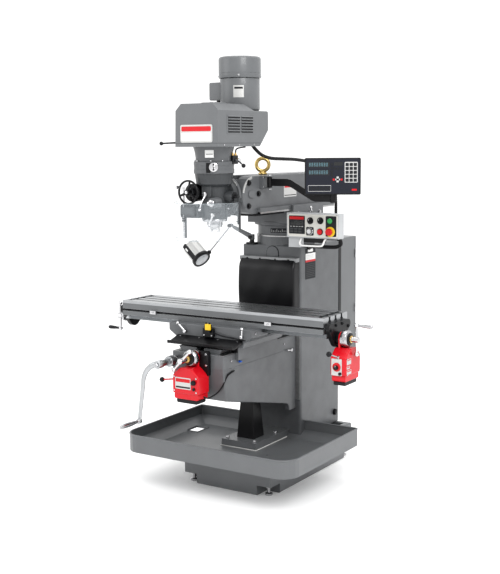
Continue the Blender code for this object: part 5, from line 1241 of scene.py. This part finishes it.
def housing_looks():
    dress("belt_housing", PAINT, 0.0045, 4)
    # badge plate: pale rounded plate with a red band and no lettering
    front = -0.7132
    plate("badge_plate", "head", SILVER, "y", front + 0.0028, -0.098, 1.866, 0.098, 1.955, -0.0048, 0.01,
        bevel=0.0008)
    plate("badge_band", "head", REDKEY, "y", front - 0.0018, -0.09, 1.922, 0.09, 1.946, -0.0008, 0.006)
    plate("badge_field", "head", WHITE, "y", front - 0.0018, -0.09, 1.876, 0.09, 1.914, -0.0006, 0.004)
    # louvre panels on both sides
    for side, label in ((1, "right"), (-1, "left")):
        spans = sorted((side * 0.1292, side * 0.1312))
        piece(f"louvre_panel_{label}", "head", PAINT, prism(rounded(-0.632, 1.908, -0.38, 2.008, 0.006), "x", *spans),
            bevel=0.0006)
        slats, shades = [], []
        for y0, y1 in ((-0.622, -0.512), (-0.5, -0.39)):
            for k in range(6):
                z = 1.9165 + 0.0145 * k
                outline = [(side * 0.1308, z + 0.004), (side * 0.1348, z + 0.0048), (side * 0.1352, z + 0.0064),
                    (side * 0.1308, z + 0.011)]
                slats.append(loft([[Vector((xx, yy, zz)) for xx, zz in outline] for yy in (y0, y1)]))
                # a dark box behind each slat: painted shade in the opening between slats
                lo, hi = sorted((side * 0.131, side * 0.1316))
                shades.append(box((lo, y0, z - 0.002), (hi, y1, z + 0.005)))
        piece(f"louvre_slats_{label}", "head", PAINT, *slats, bevel=0.0006)
        piece(f"louvre_shades_{label}", "head", PAINTED_SHADE, *shades)
    piece("housing_cap", "head", PAINT, turned("z", 0.0, SPINDLE_Y, ((2.0595, 0.062), (2.06, 0.0655), (2.065, 0.0655),
        (2.0672, 0.063)), 56))
    piece("housing_cap_button", "head", TURNED, turned("z", 0.0, SPINDLE_Y, ((2.067, 0.02), (2.07, 0.019),
        (2.071, 0.016)), 32))
    # parting line round the housing
    z = 1.8622
    piece("housing_seam", "head", DEEP, box((-0.1306, -0.7146, z - 0.001), (0.1306, -0.7, z + 0.001)),
        box((-0.1306, -0.702, z - 0.001), (-0.129, -0.318, z + 0.001)), box((0.129, -0.702, z - 0.001),
        (0.1306, -0.318, z + 0.001)), slot="machine_paint")
    screws = [(s * 0.1302, y, 1.8535) for s in (-1, 1) for y in (-0.66, -0.52, -0.38)]
    piece("housing_screws", "head", CHROME, *(socket_screw(p, (math.copysign(1, p[0]), 0, 0), 0.0045, 0.003)
        for p in screws))
    # speed lever with its boss
    piece("speed_lever_rod", "speed_handle", SATIN, turned("x", -0.69, 1.866, ((-0.1304, 0.0088), (-0.132, 0.01),
        (-0.1415, 0.01), (-0.1428, 0.0085)), 28), sweep([(-0.14, -0.69, 1.866), (-0.19, -0.69, 1.8645),
        (-0.232, -0.69, 1.863)], (0.0048, 0.0042, 0.004), 14), replaces=("speed_lever",))
    piece("speed_lever_knob", "speed_handle", SATIN, ball((-0.2375, -0.69, 1.8628), 0.01))


def motor_looks():
    y, low = -0.309, 2.0283
    shell = ((low, 0.096), (low + 0.004, 0.1), (low + 0.01, 0.1045), (2.04, 0.105), (2.1955, 0.105), (2.199, 0.104),
        (2.2, 0.1))
    piece("motor_shell", "head", PAINT, turned("z", 0.0, y, shell, 96), prism(rounded(-0.365, 2.088, -0.275, 2.182,
        0.008), "x", -0.158, -0.08), replaces=("motor",), bevel=0.0025, segments=3)
    cowl = ((2.2004, 0.1085), (2.2012, 0.1108), (2.203, 0.1118), (2.224, 0.1118), (2.2245, 0.111), (2.2262, 0.111),
        (2.2267, 0.1118), (2.298, 0.1118), (2.306, 0.1095), (2.31, 0.104), (2.3118, 0.096), (2.312, 0.03))
    piece("motor_cowl_shell", "head", PAINT, turned("z", 0.0, y, cowl, 96), replaces=("motor_cowl",))
    # radial dark strips on the cowl's top: painted shade in the grille's openings
    slots = []
    for k in range(24):
        slots.append(spun(box((0.036, y - 0.0016, 2.3112), (0.086, y + 0.0016, 2.3128)), 15.0 * k, (0.0, y, 0.0),
            "Z"))
    piece("cowl_grille_shade", "head", PAINTED_SHADE, *slots)
    screws = [(0.1115 * math.cos(math.radians(a)), y + 0.1115 * math.sin(math.radians(a)), 2.2125)
        for a in (-60, 30, 120, 210)]
    piece("cowl_screws", "head", CHROME, *(socket_screw(p, (p[0], p[1] - y, 0), 0.0045, 0.003) for p in screws))
    curved_plate("motor_plate", "head", SILVER, (0.0, y), 0.1055, 2.098, 2.16, 14, 44, "steel")
    curved_plate("motor_plate_lines", "head", KEYS, (0.0, y), 0.1062, 2.142, 2.152, 17, 41, "black_plastic")
    plate("terminal_lid", "head", PAINT, "x", -0.1578, -0.361, 2.092, -0.279, 2.178, -0.0035, 0.006, bevel=0.001)
    piece("terminal_screws", "head", CHROME, *cap_screws((-1, 0, 0), 0.0038, 0.002, ((-0.1612, yy, zz)
        for yy in (-0.354, -0.286) for zz in (2.099, 2.171))))
    piece("motor_gland", "head", BLACK, turned("z", -0.128, -0.32, ((2.0885, 0.012), (2.076, 0.012), (2.074, 0.008)),
        24), slot="black_plastic")
    route = smooth_route(((-0.128, -0.32, 2.076), (-0.129, -0.322, 2.055), (-0.128, -0.33, 2.035),
        (-0.12, -0.345, 2.024)), 20)
    piece("motor_lead", "head", HOSE, sweep(route, 0.006, 14))
    ring = turned("z", 0.0, y, ((2.027, 0.08), (2.0285, 0.092), (2.033, 0.098), (2.036, 0.098)), 64)
    piece("motor_flange", "head", CAST, ring)


def handwheel_looks():
    x, y, z = -0.092, -0.662, 1.614
    rings = []
    for k in range(72):
        a = math.tau * k / 72
        rings.append([Vector((x + (0.0585 + 0.0052 * math.cos(b)) * math.cos(a), y + 0.0062 * math.sin(b), z
            + (0.0585 + 0.0052 * math.cos(b)) * math.sin(a))) for b in (math.tau * j / 14 for j in range(14))])
    bm = bmesh.new()
    rows = [[bm.verts.new(p) for p in ring] for ring in rings]
    for i in range(72):
        for j in range(14):
            bm.faces.new((rows[i][j], rows[(i + 1) % 72][j], rows[(i + 1) % 72][(j + 1) % 14], rows[i][(j + 1) % 14]))
    bmesh.ops.recalc_face_normals(bm, faces=bm.faces)
    spokes = []
    for turn in (80.0, 200.0, 320.0):
        a = math.radians(turn)
        end = Vector((x + 0.057 * math.cos(a), y, z + 0.057 * math.sin(a)))
        spokes.append(sweep([Vector((x, y, z)), Vector((x, y, z)).lerp(end, 0.5), end], (0.008, 0.0064, 0.0056), 16,
            (1.0, 0.6)))
    hub = turned("y", x, z, ((-0.6487, 0.012), (-0.65, 0.014), (-0.678, 0.014), (-0.68, 0.012)), 40)
    piece("fine_feed_wheel", "feed_wheel", BLACK, bm, hub, *spokes, replaces=("feed_handwheel",), smooth=60)
    grip = ((-0.666, 0.005), (-0.669, 0.0072), (-0.674, 0.006), (-0.683, 0.0085), (-0.692, 0.0095), (-0.6975, 0.008),
        (-0.6995, 0.0045))
    piece("fine_feed_grip", "feed_wheel", CHROME, turned("y", x - 0.052, z + 0.026, grip, 28))
    piece("fine_feed_cap", "feed_wheel", CHROME, turned("y", x, z, ((-0.6795, 0.0085), (-0.6815, 0.0085),
        (-0.683, 0.006)), 28))
    piece("fine_feed_boss", "head", BLACK, turned("y", x, z - 0.004, ((-0.51, 0.045), (-0.6, 0.0462),
        (-0.6275, 0.0462), (-0.629, 0.044), (-0.6292, 0.026), (-0.64, 0.025), (-0.6475, 0.02)), 56))


def guard_looks():
    centre, radius, wall = (-0.035, SPINDLE_Y), 0.183, 0.0022
    arc = circle(*centre, radius, 72, 190, 360)
    inner = list(reversed(circle(*centre, radius - wall, 72, 190, 360)))
    piece("guard_sheet", "guard", CLEAR, prism(arc + inner, "z", 1.371, 1.56), replaces=("chip_guard",))
    hinge = (0.147, -0.548)
    piece("guard_hinge", "guard", DEEP, rod("z", 1.42, 1.5632, *hinge, 0.0058, 24, 0.001),
        box((0.1412, -0.5615, 1.45), (0.144, -0.548, 1.54)))
    piece("guard_rivets", "guard", CHROME, *(along((0.1412, -0.566, z), (-1, 0, 0),
        ((0, 0.004), (0.001, 0.0036), (0.0016, 0.002)), 16) for z in (1.465, 1.495, 1.525)))
    band = circle(*centre, radius + 0.0006, 72, 190, 360)
    low = list(reversed(circle(*centre, radius - wall - 0.0006, 72, 190, 360)))
    piece("guard_edge", "guard", finish("guard_edge", (0.4, 0.44, 0.46), 0.2, mottle=0.02, alpha=0.45),
        prism(band + low, "z", 1.559, 1.5615), prism(band + low, "z", 1.3695, 1.372), slot="clear_guard")
    piece("guard_holder", "head", DEEP, sweep([(0.062, -0.548, 1.574), (0.11, -0.548, 1.574), (0.157, -0.548, 1.574)],
        0.007, 16), turned("z", *hinge, ((1.5645, 0.0095), (1.5655, 0.0105), (1.5825, 0.0105), (1.584, 0.009)), 28))


def switch_looks():
    # brake lever and the valve cluster to the right of the gear case
    pivot, tip = Vector((0.12, -0.52, 1.775)), Vector((0.168, -0.54, 1.748))
    piece("brake_rod", "brake_handle", CHROME, turned("x", pivot.y, pivot.z, ((0.1072, 0.0088), (0.1085, 0.01),
        (0.1315, 0.01), (0.1328, 0.0086)), 28), sweep([pivot, pivot.lerp(tip, 0.5), tip], (0.005, 0.0042, 0.0038),
        14), replaces=("brake_lever",))
    piece("brake_knob", "brake_handle", SATIN, ball(tip, 0.0108))
    piece("valve_block", "head", BLACK, prism(rounded(-0.546, 1.756, -0.496, 1.8, 0.004), "x", 0.092, 0.1068),
        bevel=0.001)
    piece("valve_ports", "head", BRASS, turned("z", 0.1, -0.535, ((1.7995, 0.0065), (1.806, 0.0065), (1.807, 0.0045),
        (1.813, 0.0045)), 20), turned("z", 0.1, -0.51, ((1.7995, 0.0065), (1.806, 0.0065), (1.807, 0.0045),
        (1.813, 0.0045)), 20))
    route = smooth_route(((0.1, -0.51, 1.812), (0.101, -0.505, 1.83), (0.105, -0.48, 1.838), (0.108, -0.43, 1.842)),
        20)
    piece("valve_hose", "head", HOSE, sweep(route, 0.0035, 10))


# ---------------------------------------------------------------- conduit
CONDUIT_R = 0.0095
CONDUIT_FRONT = ((0.06, -0.3, 1.864), (0.066, -0.268, 1.832), (0.078, -0.215, 1.797), (0.094, -0.15, 1.78),
    (0.112, -0.06, 1.775), (0.132, 0.045, 1.77), (0.15, 0.16, 1.757), (0.158, 0.27, 1.735), (0.15, 0.365, 1.705))
CONDUIT_REAR = ((0.15, 0.3658, 1.7047), (0.14, 0.44, 1.68), (0.122, 0.52, 1.63), (0.106, 0.575, 1.54),
    (0.1, 0.59, 1.43), (0.1, 0.592, 1.3155))


def conduit_looks():
    front = smooth_route(CONDUIT_FRONT, 120)
    rear = smooth_route(CONDUIT_REAR, 90)

    def ribbed(path):
        return sweep(path, [CONDUIT_R * (1.0 if k % 2 else 0.9) for k in range(len(path))], 16)

    def cut_at(path, y):
        return next(i for i, p in enumerate(path) if p.y > y)

    a, b = cut_at(front, -0.215), cut_at(front, -0.06)
    spans = (("conduit_head", front[:a + 1], "head", "knuckle_body"), ("conduit_knuckle", front[a:b + 1],
        "knuckle_body", "ram_body"), ("conduit_ram", front[b:], "ram_body", "turret_body"))
    for name, path, first, second in spans:
        replaced = ("conduit_front",) if name == "conduit_knuckle" else ()
        obj = piece(name, None, HOSE, ribbed(path), replaces=replaced, smooth=60)
        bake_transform(obj)
    obj = piece("conduit_rear_hose", None, HOSE, ribbed(rear), replaces=("conduit_rear",), smooth=60)
    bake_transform(obj)
    start = front[0]
    way = (front[3] - front[0]).normalized()
    piece("conduit_gland", "head", BLACK, along(start - way * 0.012, way, ((0, 0.015), (0.008, 0.015),
        (0.0085, 0.0125), (0.02, 0.0125), (0.021, 0.0105)), 28), slot="black_plastic")


# ---------------------------------------------------------------- room, lights, camera
def room():
    floor_mesh = bpy.data.meshes.new("floor")
    half = 30.0
    floor_mesh.from_pydata([(-half, -half, 0), (half, -half, 0), (half, half, 0), (-half, half, 0)], [],
        [(0, 1, 2, 3)])
    floor = bpy.data.objects.new("floor", floor_mesh)
    floor.location = (0.0, 0.0, -0.0005)
    bpy.context.scene.collection.objects.link(floor)
    floor_mesh.materials.append(finish("pale_floor", (0.93, 0.93, 0.93), 0.75, mottle=0.01, patch=0.4, grain=40,
        bump=0.00001, glow=0.1))
    world = bpy.data.worlds.new("studio")
    bpy.context.scene.world = world
    world.use_nodes = True
    back = world.node_tree.nodes["Background"]
    back.inputs["Color"].default_value = (1.0, 1.0, 1.0, 1.0)
    back.inputs["Strength"].default_value = 1.0
    bpy.context.scene.view_settings.view_transform = "Standard"
    bpy.context.scene.view_settings.look = "Medium High Contrast"
    for name, place, aim, size, power in (("key", (3.6, -3.0, 4.4), (0.1, -0.2, 1.0), (2.4, 2.4), 130.0),
            ("fill", (-3.6, -3.6, 3.0), (0.0, -0.3, 1.1), (3.0, 3.0), 34.0), ("top", (0.0, 0.4, 5.0),
            (0.0, -0.2, 1.0), (3.5, 3.5), 60.0)):
        light = bpy.data.lights.new(name, "AREA")
        light.shape, light.size, light.size_y, light.energy = "RECTANGLE", size[0], size[1], power
        lamp = bpy.data.objects.new(name, light)
        lamp.location = place
        lamp.rotation_euler = (Vector(aim) - Vector(place)).to_track_quat("-Z", "Y").to_euler()
        bpy.context.scene.collection.objects.link(lamp)


def camera():
    azimuth, pitch, roll = math.radians(32.547), math.radians(7.712), math.radians(-0.443)
    forward = Vector((-math.sin(azimuth) * math.cos(pitch), math.cos(azimuth) * math.cos(pitch), -math.sin(pitch)))
    right = Vector((math.cos(azimuth), math.sin(azimuth), 0.0))
    up = right.cross(forward)
    side = right * math.cos(roll) + up * math.sin(roll)
    top = up * math.cos(roll) - right * math.sin(roll)
    data = bpy.data.cameras.new("camera")
    data.lens, data.sensor_width, data.sensor_fit = 65.96, 36.0, "AUTO"
    data.clip_end = 60.0
    obj = bpy.data.objects.new("camera", data)
    turn = Matrix((side, top, -forward)).transposed().to_4x4()
    obj.matrix_world = Matrix.Translation((3.08, -5.051, 1.854)) @ turn
    bpy.context.scene.collection.objects.link(obj)
    bpy.context.scene.camera = obj


stand_looks()
controls_looks()
lamp_looks()
knee_looks()
saddle_looks()
table_looks()
feed_panels()
ram_looks()
readout_looks()
head_looks()
conduit_looks()
room()
camera()
